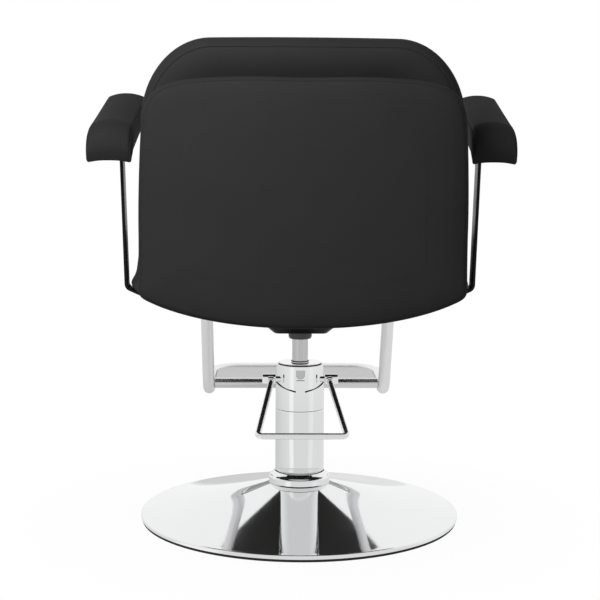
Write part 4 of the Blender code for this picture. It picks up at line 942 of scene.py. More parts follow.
hub_circle = paired_circle(HUB_NECK + 0.0006, 0.02, 0.02 - 1e-4, 8)
plate_rings = [
    plate_ring(PLATE_FLANGE, 0.0, 0.012, z_flange_top),
    plate_ring(PLATE_FLANGE, 0.0, 0.012, z_flange_top - PLATE_GAUGE),
    plate_ring(PLATE_WALL, -0.003, 0.014, z_flange_top - PLATE_GAUGE),
    plate_ring(PLATE_WALL, 0.0, 0.012, z_plate + PLATE_CHAMFER),
    plate_ring(PLATE_BOTTOM, 0.0, 0.010, z_plate),
    [(x, y, z_plate) for x, y in hub_circle],
    [(x, y, z_plate + PLATE_GAUGE) for x, y in hub_circle],
    plate_ring(PLATE_BOTTOM, 0.001, 0.010, z_plate + PLATE_GAUGE),
    plate_ring(PLATE_WALL, PLATE_GAUGE, 0.010, z_plate + PLATE_CHAMFER + 0.0015),
    plate_ring(PLATE_WALL, 0.0, 0.012, z_flange_top),
]
plate = skinned("seat_plate_pressing", plate_rings, enamel, "joined")
dress(eased_edges(plate, 0.0012, 3, 20.0), "chair", "black_paint", "seat_plate")

hub_low, hub_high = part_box("swivel_hub")
hub_foot, hub_ceiling = hub_low.z - PLATE_SAG, hub_high.z - 0.003
hub_bore, z_neck = rod_radius + 0.0005, z_plate - TOUCH
hub_profile = [
    (0.0, hub_ceiling, 0.0), (hub_bore, hub_ceiling, 0.0), (hub_bore, hub_foot, 0.0008),
    (hub_high.x - 0.002, hub_foot, 0.0015), (hub_high.x, hub_foot + 0.004, 0.0020), (hub_high.x, z_neck, 0.0005),
    (HUB_NECK, z_neck, 0.0), (HUB_NECK, hub_high.z, 0.0008), (0.0, hub_high.z, 0.0),
]  # fmt: skip
hub = turned("hub_casting", hub_profile, dark_steel, closed=False)
dress(hub, "chair", "dark_steel", "swivel_hub")
print(f"plate hangs {z_flange_top - z_plate:.4f} m below the board")

# %% [markdown]
# ## Geometry Nodes from a script
# What repeats is set by a tree of Geometry Nodes: it puts a copy of one small mesh on every point it is given.
# Each tree ends by realizing the copies, because an export would drop instances, and the result is kept as a
# plain mesh.

# %% Trees that set a piece on points


def tree_with(name, inputs):
    """A geometry tree with a Geometry input, these named inputs and a Geometry output."""
    tree = bpy.data.node_groups.new(name, "GeometryNodeTree")
    tree.interface.new_socket("Geometry", in_out="INPUT", socket_type="NodeSocketGeometry")
    for label, kind in inputs:
        tree.interface.new_socket(label, in_out="INPUT", socket_type=kind)
    tree.interface.new_socket("Geometry", in_out="OUTPUT", socket_type="NodeSocketGeometry")
    return tree, tree.nodes.new("NodeGroupInput"), tree.nodes.new("NodeGroupOutput")


def geo(tree, kind, links, **settings):
    """Adds a node, sets its inputs to values or links, and gives its first output."""
    made = tree.nodes.new(kind)
    for name, value in settings.items():
        setattr(made, name, value)
    for name, value in links.items():
        if isinstance(value, bpy.types.NodeSocket):
            tree.links.new(value, made.inputs[name])
        else:
            made.inputs[name].default_value = value
    return made.outputs[0]


def set_on(tree, entry, leave, placing, smooth):
    """Ends a tree: copies set on points, made real, in the finish that the tree is given."""
    shown = geo(tree, "GeometryNodeInstanceOnPoints", placing)
    shown = geo(tree, "GeometryNodeRealizeInstances", {"Geometry": shown})
    if smooth:
        shown = geo(tree, "GeometryNodeSetShadeSmooth", {"Geometry": shown})
    shown = geo(tree, "GeometryNodeSetMaterial", {"Geometry": shown, "Material": entry.outputs["Finish"]})
    tree.links.new(shown, leave.inputs[0])


def run_tree(name, source, tree, values, finish):
    """Runs a tree on a source mesh and keeps the result as a plain mesh of its own."""
    modifier = source.modifiers.new(name, "NODES")
    modifier.node_group = tree
    for item in tree.interface.items_tree:
        if item.in_out == "INPUT" and item.name in values:
            modifier[item.identifier] = values[item.name]
    graph = bpy.context.evaluated_depsgraph_get()
    mesh = bpy.data.meshes.new_from_object(source.evaluated_get(graph))
    source.modifiers.clear()
    bpy.data.objects.remove(source)
    return placed(name, mesh, finish)


def points_object(name, points, edges=()):
    """A loose mesh of points, and of edges between them, for a tree to work on."""
    mesh = bpy.data.meshes.new(name)
    mesh.from_pydata([tuple(p) for p in points], edges, [])
    source = bpy.data.objects.new(name, mesh)
    scene.collection.objects.link(source)
    return source


print("trees can be built, ended and run")

# %% [markdown]
# ## Bolts
# Fourteen hexagon bolts hold the plate, the arms, the back and the footrest to the board. One bolt is a prism
# with a chamfered end, and the points come from the boxes of the solid bolts.

# %% The bolts
BOLT_RADIUS, BOLT_HEIGHT, BOLT_CHAMFER, CHAMFER_SHARE = 0.0075, 0.0043, 0.0010, 0.86
FLOAT, FINISH = "NodeSocketFloat", ("Finish", "NodeSocketMaterial")
bolt_tree, entry, leave = tree_with("bolts", [("Head radius", FLOAT), ("Head height", FLOAT), FINISH])
wide = entry.outputs["Head radius"]
narrow = geo(bolt_tree, "ShaderNodeMath", {0: wide, 1: CHAMFER_SHARE}, operation="MULTIPLY")


def hexagon(depth, low_radius):
    """A six-sided cone or prism."""
    sockets = {"Vertices": 6, "Side Segments": 1, "Depth": depth, "Radius Bottom": low_radius, "Radius Top": wide}
    return geo(bolt_tree, "GeometryNodeMeshCone", sockets, fill_type="NGON")


chamfer, prism = hexagon(BOLT_CHAMFER, narrow), hexagon(entry.outputs["Head height"], wide)
raised = geo(bolt_tree, "GeometryNodeTransform", {"Geometry": prism, "Translation": (0, 0, BOLT_CHAMFER)})
both = geo(bolt_tree, "GeometryNodeJoinGeometry", {})
for half in (raised, chamfer):
    bolt_tree.links.new(half, both.node.inputs[0])
merged = geo(bolt_tree, "GeometryNodeMergeByDistance", {"Geometry": both, "Distance": 0.00001})
set_on(bolt_tree, entry, leave, {"Points": entry.outputs["Geometry"], "Instance": merged}, smooth=False)

bolt_nodes = [name for name in nodes if "_bolt_" in name and not name.startswith("base_")]
bolt_points = []
for name in bolt_nodes:
    low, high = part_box(name)
    bolt_points.append(((low.x + high.x) / 2, (low.y + high.y) / 2, low.z))
bolt_values = {"Head radius": BOLT_RADIUS, "Head height": BOLT_HEIGHT, "Finish": zinc.material}
bolts = run_tree("board_bolts", points_object("bolt_points", bolt_points), bolt_tree, bolt_values, zinc)
for face in bolts.data.polygons:
    face.use_smooth = False
dress(bolts, "chair", "zinc", *bolt_nodes)
print(f"{len(bolt_points)} bolts, {len(bolts.data.polygons)} faces")

# %% [markdown]
# ## How a cushion is drawn
# A cushion here is foam on a board under a sewn cover. Its outline is a mirrored curve, its side a profile
# from the front face round the edge to the rear face. Rings of the outline follow the profile, a seam is
# a ring that is pulled in, and the faces close over shrinking rings.

# %% Outlines and profiles


def mirrored_outline(knots, count):
    """An evenly spaced closed outline, mirrored in a, from knots (a, b, direction, handle)."""
    half = []
    for start, end in zip(knots, knots[1:]):
        controls = []
        for (a, b, direction, handle), sign in ((start, 1), (end, -1)):
            turn = radians(direction)
            spot = Vector((a, b))
            controls.append((spot, spot + Vector((cos(turn), sin(turn))) * handle * sign))
        samples = interpolate_bezier(controls[0][0], controls[0][1], controls[1][1], controls[1][0], 41)
        half += [p.to_2d() for p in samples[:-1]]
    half.append(Vector(knots[-1][:2]))
    return evenly(half + [Vector((-p.x, p.y)) for p in half[-2:0:-1]], count)


def evenly(loop, count):
    """Points spaced evenly along a closed loop, from its first point."""
    loop = loop + loop[:1]
    lengths = [(b - a).length for a, b in zip(loop, loop[1:])]
    step, walked, spot = sum(lengths) / count, 0.0, 0
    made = []
    for i in range(count):
        while walked + lengths[spot] < i * step:
            walked += lengths[spot]
            spot += 1
        share = (i * step - walked) / lengths[spot]
        made.append(loop[spot].lerp(loop[spot + 1], share))
    return made


def inset(outline, amount, gather=1.0):
    """The outline drawn in by about this amount, then gathered towards its middle."""
    low, high = min(p.y for p in outline), max(p.y for p in outline)
    middle, half_b, half_a = (low + high) / 2, (high - low) / 2, max(p.x for p in outline)
    share_a, share_b = (1 - amount / half_a) * gather, (1 - amount / half_b) * gather
    return [(p.x * share_a, middle + (p.y - middle) * share_b) for p in outline]


def smooth_line(points, gap):
    """A Catmull-Rom curve through 2-D points, sampled about every gap."""
    points = [Vector(p) for p in points]
    padded = [points[0] * 2 - points[1], *points, points[-1] * 2 - points[-2]]
    line = []
    for before, a, b, after in zip(padded, padded[1:], padded[2:], padded[3:]):
        steps = max(1, round((b - a).length / gap))
        for i in range(steps):
            t = i / steps
            line.append(
                0.5 * (2 * a + (b - before) * t + (2 * before - 5 * a + 4 * b - after) * t**2
                       + (3 * (a - b) + after - before) * t**3)
            )  # fmt: skip
    return line + [points[-1]]


SEAM_STEPS = ((-0.0060, 0.0), (-0.0012, 0.12), (-0.0005, 0.7), (0.0, 1.0), (0.0005, 0.7), (0.0012, 0.12), (0.0060, 0.0))
SEAM_CLEARANCE, SLOPE_REACH = 0.0075, 0.002


def with_seams(line, seams, inside=None):
    """Pulls the profile in where a seam (nearest point, depth) lies; gives the line and the seams' places."""
    walk = [0.0]
    for a, b in zip(line, line[1:]):
        walk.append(walk[-1] + (b - a).length)

    def at(length):
        k = max(i for i in range(len(walk) - 1) if walk[i] <= max(0.0, length))
        share = (length - walk[k]) / (walk[k + 1] - walk[k])
        return line[k].lerp(line[k + 1], share)

    stations = {length: 0.0 for length in walk}
    middles = []
    for spot, depth in seams:
        nearest = min(range(len(line)), key=lambda i: (line[i] - Vector(spot)).length)
        centre = walk[nearest]
        middles.append(centre)
        stations = {s: d for s, d in stations.items() if abs(s - centre) > SEAM_CLEARANCE}
        stations.update({centre + step: depth * share for step, share in SEAM_STEPS})
    made, places = [], []
    inside = inside or Vector((max(p.x for p in line), sum(p.y for p in line) / len(line)))
    for length in sorted(stations):
        spot = at(length)
        ahead = at(min(length + SLOPE_REACH, walk[-1] - 1e-6)) - at(max(length - SLOPE_REACH, 0.0))
        inward = Vector((-ahead.y, ahead.x)).normalized()
        if inward.dot(inside - spot) < 0:
            inward = -inward
        if length in middles:
            places.append(len(made))
        made.append(spot + inward * stations[length])
    return made, places


print(f"a seam is drawn over {SEAM_STEPS[-1][0] * 2000:.0f} mm of profile")

# %% [markdown]
# ## Stuffing
# The cover is blown up a little by a cloth simulation with its seams and its resting side held, as stuffing
# does. The raw result creases, so the moves are eased over their neighbours and scaled to a small limit. Then
# the rings are doubled along smooth curves, so that no facet shows.

# %% Swelling and refining
CLOTH_FRAMES = 20


def plump(piece, held, pressure, cap, ease=8):
    """Swells a cover by cloth simulation; the held points stay, and no point moves further than cap."""
    mesh = piece.data
    before = [v.co.copy() for v in mesh.vertices]
    group = piece.vertex_groups.new(name="held")
    group.add(held, 1.0, "REPLACE")
    cover = piece.modifiers.new("cover", "CLOTH")
    settings = cover.settings
    settings.quality, settings.mass = 6, 0.3
    settings.tension_stiffness = settings.compression_stiffness = 25.0
    settings.shear_stiffness, settings.bending_stiffness = 10.0, 2.0
    settings.use_pressure, settings.uniform_pressure_force = True, pressure
    settings.vertex_group_mass = "held"
    settings.effector_weights.gravity = 0.0
    cover.collision_settings.use_collision = False
    for number in range(1, CLOTH_FRAMES + 1):
        scene.frame_set(number)
    graph = bpy.context.evaluated_depsgraph_get()
    swollen = [v.co.copy() for v in piece.evaluated_get(graph).data.vertices]
    piece.modifiers.remove(cover)
    piece.vertex_groups.clear()
    moves = [new - old for old, new in zip(before, swollen)]
    free = set(range(len(moves))) - set(held)
    for _ in range(ease):
        sums, counts = [Vector() for _ in moves], [0] * len(moves)
        for edge in mesh.edges:
            a, b = edge.vertices
            sums[a], sums[b] = sums[a] + moves[b], sums[b] + moves[a]
            counts[a], counts[b] = counts[a] + 1, counts[b] + 1
        for i in free:
            moves[i] = (moves[i] + sums[i] / counts[i]) / 2
    farthest = max(move.length for move in moves)
    share = min(1.0, cap / farthest)
    for vertex, old, move in zip(mesh.vertices, before, moves):
        vertex.co = old + share * move
    scene.frame_set(1)
    print(f"{piece.name} swelled by up to {share * farthest * 1000:.1f} mm")


def between(before, a, b, after):
    """The point halfway along a smooth curve through four points, between the second and the third."""
    return (9 * (a + b) - before - after) / 16


def refined(piece, count):
    """Doubles the rings of a piece with a pole at both ends, both ways; gives the piece and its rings."""
    name = piece.name
    points = [v.co.copy() for v in piece.data.vertices]
    bpy.data.objects.remove(piece)
    coarse = [points[i : i + count] for i in range(1, len(points) - 1, count)]
    rings = []
    for ring in coarse:
        fine = []
        for i in range(count):
            ahead, beyond = ring[(i + 1) % count], ring[(i + 2) % count]
            fine += [ring[i], between(ring[i - 1], ring[i], ahead, beyond)]
        rings.append(fine)
    first, last = [points[0]] * (2 * count), [points[-1]] * (2 * count)
    rings = [rings[0][count:] + rings[0][:count], first, *rings, last, rings[-1][count:] + rings[-1][:count]]
    made = []
    for before, a, b, after in zip(rings, rings[1:], rings[2:], rings[3:]):
        made += [a, [between(*four) for four in zip(before, a, b, after)]]
    made = made[1:]
    return skinned(name, [[points[0]], *made, [points[-1]]], vinyl), made


print(f"covers swell over {CLOTH_FRAMES} frames")

# %% [markdown]
# ## Stitches
# A lockstitch shows as a row of short thread bars in the seam. They repeat along a path, so a second tree
# resamples the seam into stitches and sets a thread bar on each, turned along the seam.

# %% The stitch tree
STITCH, THREAD, THREAD_SHARE = 0.0042, 0.0010, 0.78
stitch_tree, entry, leave = tree_with("stitches", [("Stitch", FLOAT), ("Thread", FLOAT), FINISH])
thick, step = entry.outputs["Thread"], entry.outputs["Stitch"]
seam = geo(stitch_tree, "GeometryNodeMeshToCurve", {"Mesh": entry.outputs["Geometry"]})
spaced = geo(stitch_tree, "GeometryNodeResampleCurve", {"Curve": seam, "Length": step}, mode="LENGTH")
length = geo(stitch_tree, "ShaderNodeMath", {0: step, 1: THREAD_SHARE}, operation="MULTIPLY")
size = geo(stitch_tree, "ShaderNodeCombineXYZ", {"X": thick, "Y": thick, "Z": length})
tangent = geo(stitch_tree, "GeometryNodeInputTangent", {})
along = geo(stitch_tree, "FunctionNodeAlignRotationToVector", {"Vector": tangent}, axis="Z")
bead = geo(stitch_tree, "GeometryNodeMeshUVSphere", {"Segments": 6, "Rings": 5, "Radius": 0.5})
laid = {"Points": spaced, "Instance": bead, "Rotation": along, "Scale": size}
set_on(stitch_tree, entry, leave, laid, smooth=True)
seam_lines = []


def sew(lines):
    """One mesh of stitches along closed or open lines of points."""
    points, edges = [], []
    for line, closed in lines:
        start = len(points)
        points += line
        edges += [(start + i, start + i + 1) for i in range(len(line) - 1)]
        if closed:
            edges.append((start + len(line) - 1, start))
    values = {"Stitch": STITCH, "Thread": THREAD, "Finish": thread.material}
    return run_tree("stitches", points_object("seam_paths", points, edges), stitch_tree, values, thread)


print(f"stitches of {STITCH * 1000:.1f} mm")

# %% [markdown]
# ## The back panel
# The back is a sandwich: a thick cushion in front, a board, and a thinner panel behind that also hides the
# bars. Both lean back by seven degrees and curve round the sitter. The photograph shows the panel's rear
# face with a seam just inside its edge. One function builds all flat pads of the chair.

# %% Pads and the back panel
AROUND = 176
FACE_GATHERS = (0.86, 0.72, 0.58, 0.45, 0.32, 0.20, 0.09)
PRESSURE = 4.0


def pad_of(name, outline, profile, gap, seams, poles, place, middle=None):
    """A pad from an (inset, w) profile that runs round the edge from one face to the other; place(u, v, w) sets
    its points. Gives the piece, the points of each seam and the number of points before the profile."""
    line, places = with_seams(smooth_line(profile, gap), seams)
    if middle is None:
        middle = (min(p.y for p in outline) + max(p.y for p in outline)) / 2
    faces = []
    for (rim_inset, rim_w), pole_w in zip((line[0], line[-1]), poles):
        face = []
        for gather in FACE_GATHERS:
            w = rim_w + (pole_w - rim_w) * (1 - gather**2)
            face.append([place(u, v, w) for u, v in inset(outline, rim_inset, gather)])
        faces.append(face + [[place(0.0, middle, pole_w)]])
    edge = [[place(u, v, w) for u, v in inset(outline, amount)] for amount, w in line]
    piece = skinned(name, faces[0][::-1] + edge + faces[1], vinyl)
    count = len(outline)
    first = 1 + len(FACE_GATHERS) * count
    return piece, [[first + k * count + i for i in range(count)] for k in places], first


def covered(pad, seams, node):
    """Refines a swollen pad, notes its seams for the sewing and puts it in its solid's place."""
    pad, rings = refined(pad, AROUND)
    for seam in seams:
        seam_lines.append((rings[2 * ((seam[0] - 1) // AROUND) + 1], True))
    dress(pad, "chair", "vinyl", node)
    return pad


H, V, T = 0.2851, 0.4265, 0.043
panel_knots = [
    (0.0, 0.0, 0, 0.62 * H), (0.942 * H, 0.1025 * V, 24, 0.06 * H), (H, 0.162 * V, 94, 0.042 * H),
    (0.991 * H, 0.400 * V, 90, 0.158 * H), (0.964 * H, 0.817 * V, 94.6, 0.199 * H),
    (0.580 * H, V, 176.8, 0.286 * H), (0.0, 1.002 * V, 180, 0.171 * H),
]  # fmt: skip
panel_levels = ((1.86, 0.0), (0.28, 0.0005), (0.07, 0.10), (0.0, 0.33), (0.035, 0.56), (0.175, 0.77), (0.56, 0.90))
panel_levels += ((1.0, 0.948), (1.45, 0.963), (1.86, 0.968))
panel_profile = [(amount * T, share * T) for amount, share in panel_levels]
panel_cut = [((0.12 * T, 0.70 * T), 0.0016)]
panel_outline = mirrored_outline(panel_knots, AROUND)
panel, panel_seams, panel_first = pad_of(
    "rear_panel", panel_outline, panel_profile, 0.004, panel_cut, (0.0, 0.985 * T), back_point
)
front_points = [v.index for v in panel.data.vertices if v.index < panel_first + 6 * AROUND]
plump(panel, front_points + panel_seams[0], PRESSURE, 0.003, ease=24)
panel = covered(panel, panel_seams, "back_panel")
print(f"panel {len(panel.data.polygons)} faces")

# %% [markdown]
# ## The back cushion
# The cushion in front of the board is higher than the panel and rounder at its upper corners. Its rear face
# recedes behind the panel, and seams run round its front and its rear edge.

# %% Back cushion
HALF, FOOT, TOP, FOOT_ROUND, DEPTH = 0.2812, 0.157, 0.4872, 0.045, 0.092
CORNER_A, CORNER_B, ARC_HANDLE = 0.120, 0.143, 0.552
cushion_rear = -0.0205
cushion_knots = [
    (0.0, FOOT, 0, 0.25 * HALF), (HALF - FOOT_ROUND, FOOT, 0, ARC_HANDLE * FOOT_ROUND),
    (HALF, FOOT + FOOT_ROUND, 90, ARC_HANDLE * FOOT_ROUND), (HALF, TOP - CORNER_B, 90, 0.565 * CORNER_B),
    (HALF - CORNER_A, TOP, 180, 0.53 * CORNER_A), (0.0, TOP, 180, 0.18 * HALF),
]  # fmt: skip
cushion_levels = ((0.87, 0.965), (0.26, 0.90), (0.087, 0.78), (0.027, 0.70), (0.0, 0.60), (0.0, 0.34))
cushion_levels += ((0.040, 0.19), (0.090, 0.115), (0.136, 0.072), (0.19, 0.040), (0.30, 0.012), (0.42, 0.012))
cushion_levels += ((0.55, 0.035), (0.70, 0.080), (0.87, 0.130))
cushion_profile = [(amount * DEPTH, cushion_rear - share * DEPTH) for amount, share in cushion_levels]
cushion_cuts = [((0.105 * DEPTH, cushion_rear - 0.80 * DEPTH), 0.0022)]
cushion_cuts += [((0.136 * DEPTH, cushion_rear - 0.072 * DEPTH), 0.0020)]
cushion_poles = (cushion_rear - 0.985 * DEPTH, cushion_rear - 0.140 * DEPTH)
cushion_outline = mirrored_outline(cushion_knots, AROUND)
cushion, cushion_seams, _ = pad_of(
    "back_pad", cushion_outline, cushion_profile, 0.004, cushion_cuts, cushion_poles, back_point
)
rear_points = [v.index for v in cushion.data.vertices if v.index > cushion_seams[1][-1] + 6 * AROUND]
plump(cushion, rear_points + cushion_seams[0] + cushion_seams[1], PRESSURE, 0.010)
cushion = covered(cushion, cushion_seams, "back_cushion")
print(f"cushion {len(cushion.data.polygons)} faces")

# %% [markdown]
# ## The seat
# The seat is a deep block of foam, widest near its board, with a boxed side and a seam where the top panel
# begins. Its rings lie level, so the same rings and seams are stacked by height instead of depth.

# %% Seat cushion
S, F, R, TALL = 0.3205, -0.380, 0.1807, 0.115
D = R - F
z_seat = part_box("seat_cushion")[0].z
seat_knots = [
    (0.0, F, 0, 0.28 * S), (0.73 * S, F + 0.010 * D, 4, 0.11 * S), (0.965 * S, F + 0.157 * D, 87, 0.11 * S),
    (S, F + 0.580 * D, 90, 0.17 * S), (0.915 * S, F + 0.857 * D, 102, 0.094 * S),
    (0.70 * S, F + 0.953 * D, 169, 0.094 * S), (0.0, R, 180, 0.22 * S),
]  # fmt: skip
seat_levels = ((0.200, 0.0), (0.070, 0.040), (0.0, 0.145), (0.078, 0.320), (0.126, 0.650), (0.160, 0.725))
seat_levels += ((0.226, 0.870), (0.417, 0.945), (0.957, 0.985))
seat_profile = [(amount * TALL, share * TALL) for amount, share in seat_levels]
seat_cut = [((0.15 * TALL, 0.69 * TALL), 0.0035)]


def on_seat(x, y, rise):
    return (x, y, z_seat + rise)


seat_outline = mirrored_outline(seat_knots, AROUND)
seat, seat_seams, seat_first = pad_of(
    "seat_pad", seat_outline, seat_profile, 0.005, seat_cut, (0.0, TALL), on_seat, (F + R) / 2
)
resting = [v.index for v in seat.data.vertices if v.index < seat_first + 3 * AROUND]
plump(seat, resting + seat_seams[0], PRESSURE, 0.006)
seat = covered(seat, seat_seams, "seat_cushion")
print(f"seat {S * 2:.3f} m wide, {D:.3f} m deep")

# %% [markdown]
# ## The arm pads
# Each arm is a long pad bent over a steel strip. A top panel runs along it and rolls down over both ends, with
# a seam near each side. A closed cross section is carried along an arc; at the ends it loses height and hardly
# any width, so the top comes down in a curve while the sides and the flat bottom run on. The right pad alone
# is splayed, because in the photograph its front stands further out than the left one's.

# %% Arm pads
ARM_HALF, ARM_ROLL, ARM_ARCH, RIGHT_SPLAY = 0.042, 0.034, 0.0060, 0.045
END_DROP, END_NARROWING, END_BULGE, ARCH_SPAN = 0.62, 0.05, 0.0010, 0.12
LIFT_START, LIFT_SPAN = 0.085, 0.05
ARM_LINE_Y, ARM_LINE_Z, ARM_LINE_RISE, ARM_PEAK_Y = 0.0873, 0.7160, 0.2150, -0.2295
ARM_CROWN = [(-1.00, -0.52), (-0.99, -0.32), (-0.955, -0.17), (-0.915, -0.115), (-0.87, -0.045), (-0.75, 0.02)]
ARM_CROWN += [(-0.50, 0.09), (-0.25, 0.13), (0.0, 0.14)]
ARM_FOOT = [(0.985, -0.75), (0.93, -0.94), (0.80, -1.0), (0.0, -1.0)]
END_TURNS = (90, 81, 72, 63, 54, 45, 36, 27, 18, 9, 0)
END_GATHERS = (0.8, 0.55, 0.3)
ARM_STATIONS = 44

half_section = [(-a, d) for a, d in ARM_FOOT[::-1]] + ARM_CROWN
section_line = half_section + [(-a, d) for a, d in half_section[-2::-1]]
section_line = smooth_line([(a * ARM_HALF, d * ARM_THICKNESS) for a, d in section_line], 0.0036)
seam_spots = [((side * 0.915 * ARM_HALF, -0.115 * ARM_THICKNESS), 0.0016) for side in (-1, 1)]
section, arm_seams = with_seams(section_line, seam_spots, Vector((0.0, -0.5 * ARM_THICKNESS)))
section = section[:-1]
if len(section) % 2:
    section.insert(1, (section[0] + section[1]) / 2)
    arm_seams = [i + 1 for i in arm_seams]
under_arc = ARM_ARC - ARM_THICKNESS


def arm_lift(y):
    """What turns the arc into a straight rise from the rear to a crest near the front."""
    edge = ARM_ARC - 0.3 * ARM_THICKNESS
    along = max(ARM_PEAK_Y, y)
    arc = ARM_CREST_Z - ARM_ARC + sqrt(edge**2 - (along - ARM_CREST_Y) ** 2)
    straight = ARM_LINE_Z + ARM_LINE_RISE * (ARM_LINE_Y - along)
    return (straight - arc) * min(1.0, max(0.0, (LIFT_START - y) / LIFT_SPAN))


def arm_pad(name, x_middle, splay):
    """A pad over the arc; splay is how much further out it stands for each metre towards its front."""
    stations = []
    for degrees in END_TURNS:
        turn = radians(degrees)
        lost = 1 - cos(turn)
        stations.append((ARM_ROLL * sin(turn), 1 - END_DROP * lost, 1 - END_NARROWING * lost))
    rear = [(ARM_REAR, *end, 1.0) for end in stations]
    front = [(ARM_FRONT, -reach, height, width, 0.0) for reach, height, width in reversed(stations)]
    middle = []
    for i in range(1, ARM_STATIONS):
        share = i / ARM_STATIONS
        middle.append((ARM_REAR + (ARM_FRONT - ARM_REAR) * share, 0.0, 1.0, 1.0, max(0.0, 1 - share / ARCH_SPAN)))

    def spot(across, depth, station):
        angle, reach, height, width, arch = station
        lift = arch * ARM_ARCH * max(0.0, 1 - (across / ARM_HALF) ** 2) * max(0.0, -2 * depth / ARM_THICKNESS - 1)
        radius = under_arc + (depth + ARM_THICKNESS) * height + lift
        y = ARM_CREST_Y + radius * sin(angle) + reach * cos(angle)
        z = ARM_CREST_Z - ARM_ARC + radius * cos(angle) - reach * sin(angle)
        change = arm_lift(y)
        share = 1.0 if change < 0 else min(1.0, 1 + depth / ARM_THICKNESS)
        return (x_middle + across * width + splay * (ARM_LINE_Y - y), y, z + change * share)

    def end_cap(station, bulge):
        angle, reach, height, width, arch = station
        caps = []
        for gather in (*END_GATHERS, 0.0):
            way = (angle, reach + bulge * (1 - gather**2), height, width, arch * gather)
            centre = -0.5 * ARM_THICKNESS
            ring = [spot(p.x * gather, centre + (p.y - centre) * gather, way) for p in section]
            caps.append(ring if gather else ring[:1])
        return caps

    rings = [[spot(p.x, p.y, station) for p in section] for station in rear + middle + front]
    rings = end_cap(rear[0], END_BULGE)[::-1] + rings + end_cap(front[-1], -END_BULGE)
    return skinned(name, rings, vinyl)


count = len(section)
body_rings = 2 * len(END_TURNS) + ARM_STATIONS - 1
first_ring = len(END_GATHERS)
for side, sx in SIDES:
    low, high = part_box(f"arm_pad_{side}")
    pad = arm_pad(f"arm_cushion_{side}", (low.x + high.x) / 2, 0.0 if sx > 0 else -RIGHT_SPLAY)
    held = []
    for k in range(body_rings):
        start = 1 + (first_ring + k) * count
        held += [start + i for i in arm_seams]
        held += [start + i for i, p in enumerate(section) if p.y < -0.93 * ARM_THICKNESS]
    plump(pad, held, PRESSURE, 0.004)
    pad, pad_rings = refined(pad, count)
    for i in arm_seams:
        line = [ring[2 * i] for ring in pad_rings[2 * first_ring + 1 : 2 * (first_ring + body_rings)]]
        seam_lines.append((line, False))
    dress(pad, "chair", "vinyl", f"arm_pad_{side}")
print(f"arm section of {count} points, {body_rings} rings")

# %% [markdown]
# ## Sewing
# Every seam has left its line of points, so one run of the stitch tree sews the whole cover.

# %% Sew all seams
stitches = sew(seam_lines)
dress(stitches, "chair", "vinyl")
print(f"{len(seam_lines)} seams, {len(stitches.data.polygons)} thread faces")

# %% [markdown]
# ## Finishes for the solids that stay
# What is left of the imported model, such as the pump inside the column and the boards, has the right shape
# already. Each solid takes the finish of its material slot.

# %% Dress the remaining solids
SLOT_OF = {
    "pump_body": "cast_iron", "rod_bush": "bronze", "thrust_washer": "bronze",
    "base_bolt_1": "zinc", "base_bolt_2": "zinc", "base_bolt_3": "zinc",
    "piston_head": "dark_steel", "piston_seal": "rubber", "pedal_cam": "dark_steel", "pump_plunger": "dark_steel",
    "seat_board": "plywood", "back_board": "plywood", "arm_board_left": "dark_steel", "arm_board_right": "dark_steel",
}  # fmt: skip
for name, slot in SLOT_OF.items():
    nodes[name].data.materials.clear()
    nodes[name].data.materials.append(finishes[slot].material)
print(f"{len(SLOT_OF)} solids keep their shape")

# %% [markdown]
# ## Studio
# The chair stands in a white studio on a pale floor. The camera sees the background as plain white. What a
# For mirrors the floor glows in fourteen listed greys round the column, from the front over one side and
# back: painted reflections, because the stripes on the photograph's column come from a room that can't be known.

# %% Floor
# painted reflection: the greys that mirrors see on the floor, by bearing round the column
PAINTED_REFLECTION_GREYS = (
    (0.0, 0.79), (0.10, 0.79), (0.14, 0.90), (0.17, 0.90), (0.19, 0.82), (0.45, 0.80), (0.52, 0.64), (0.62, 0.66),
    (0.75, 0.76), (0.85, 0.82), (0.87, 1.0), (0.908, 1.0), (0.922, 0.79), (1.0, 0.79),
)  # fmt: skip
WHITE = (1, 1, 1, 1)
floor_mesh = bpy.data.meshes.new("floor")
floor_mesh.from_pydata([(-9, -9, 0), (9, -9, 0), (9, 9, 0), (-9, 9, 0)], [], [(0, 1, 2, 3)])
ground = Finish("studio_floor", {"Specular IOR Level": 0.1, "Roughness": 0.8})
ground.feed("Base Color", ground.tint(ground.noise(0.6), (0.64, 0.64, 0.64), (0.66, 0.66, 0.66)))
seen = ground.node("ShaderNodeLightPath", {}, {}, "Is Camera Ray")
mirrored = ground.node("ShaderNodeLightPath", {}, {}, "Is Glossy Ray")
away = ground.node("ShaderNodeVectorMath", {"operation": "LENGTH"}, {0: ground.place}, "Value")
facing = ground.node("ShaderNodeMapping", {}, {"Vector": ground.place, "Rotation": (0.0, 0.0, radians(90))})
bearing = ground.node("ShaderNodeTexGradient", {"gradient_type": "RADIAL"}, {"Vector": facing})
# the painted reflection's greys round the column, lighter further out
painted_reflection = ground.node("ShaderNodeValToRGB", {"stops": PAINTED_REFLECTION_GREYS}, {"Fac": bearing})
painted_reflection = ground.fade(painted_reflection, 0.0, 1.0, ground.fade(away, 0.9, 1.7, 0.0, 0.30), 1.0)
white = ground.node("ShaderNodeEmission", {}, {"Color": WHITE, "Strength": 1.0})
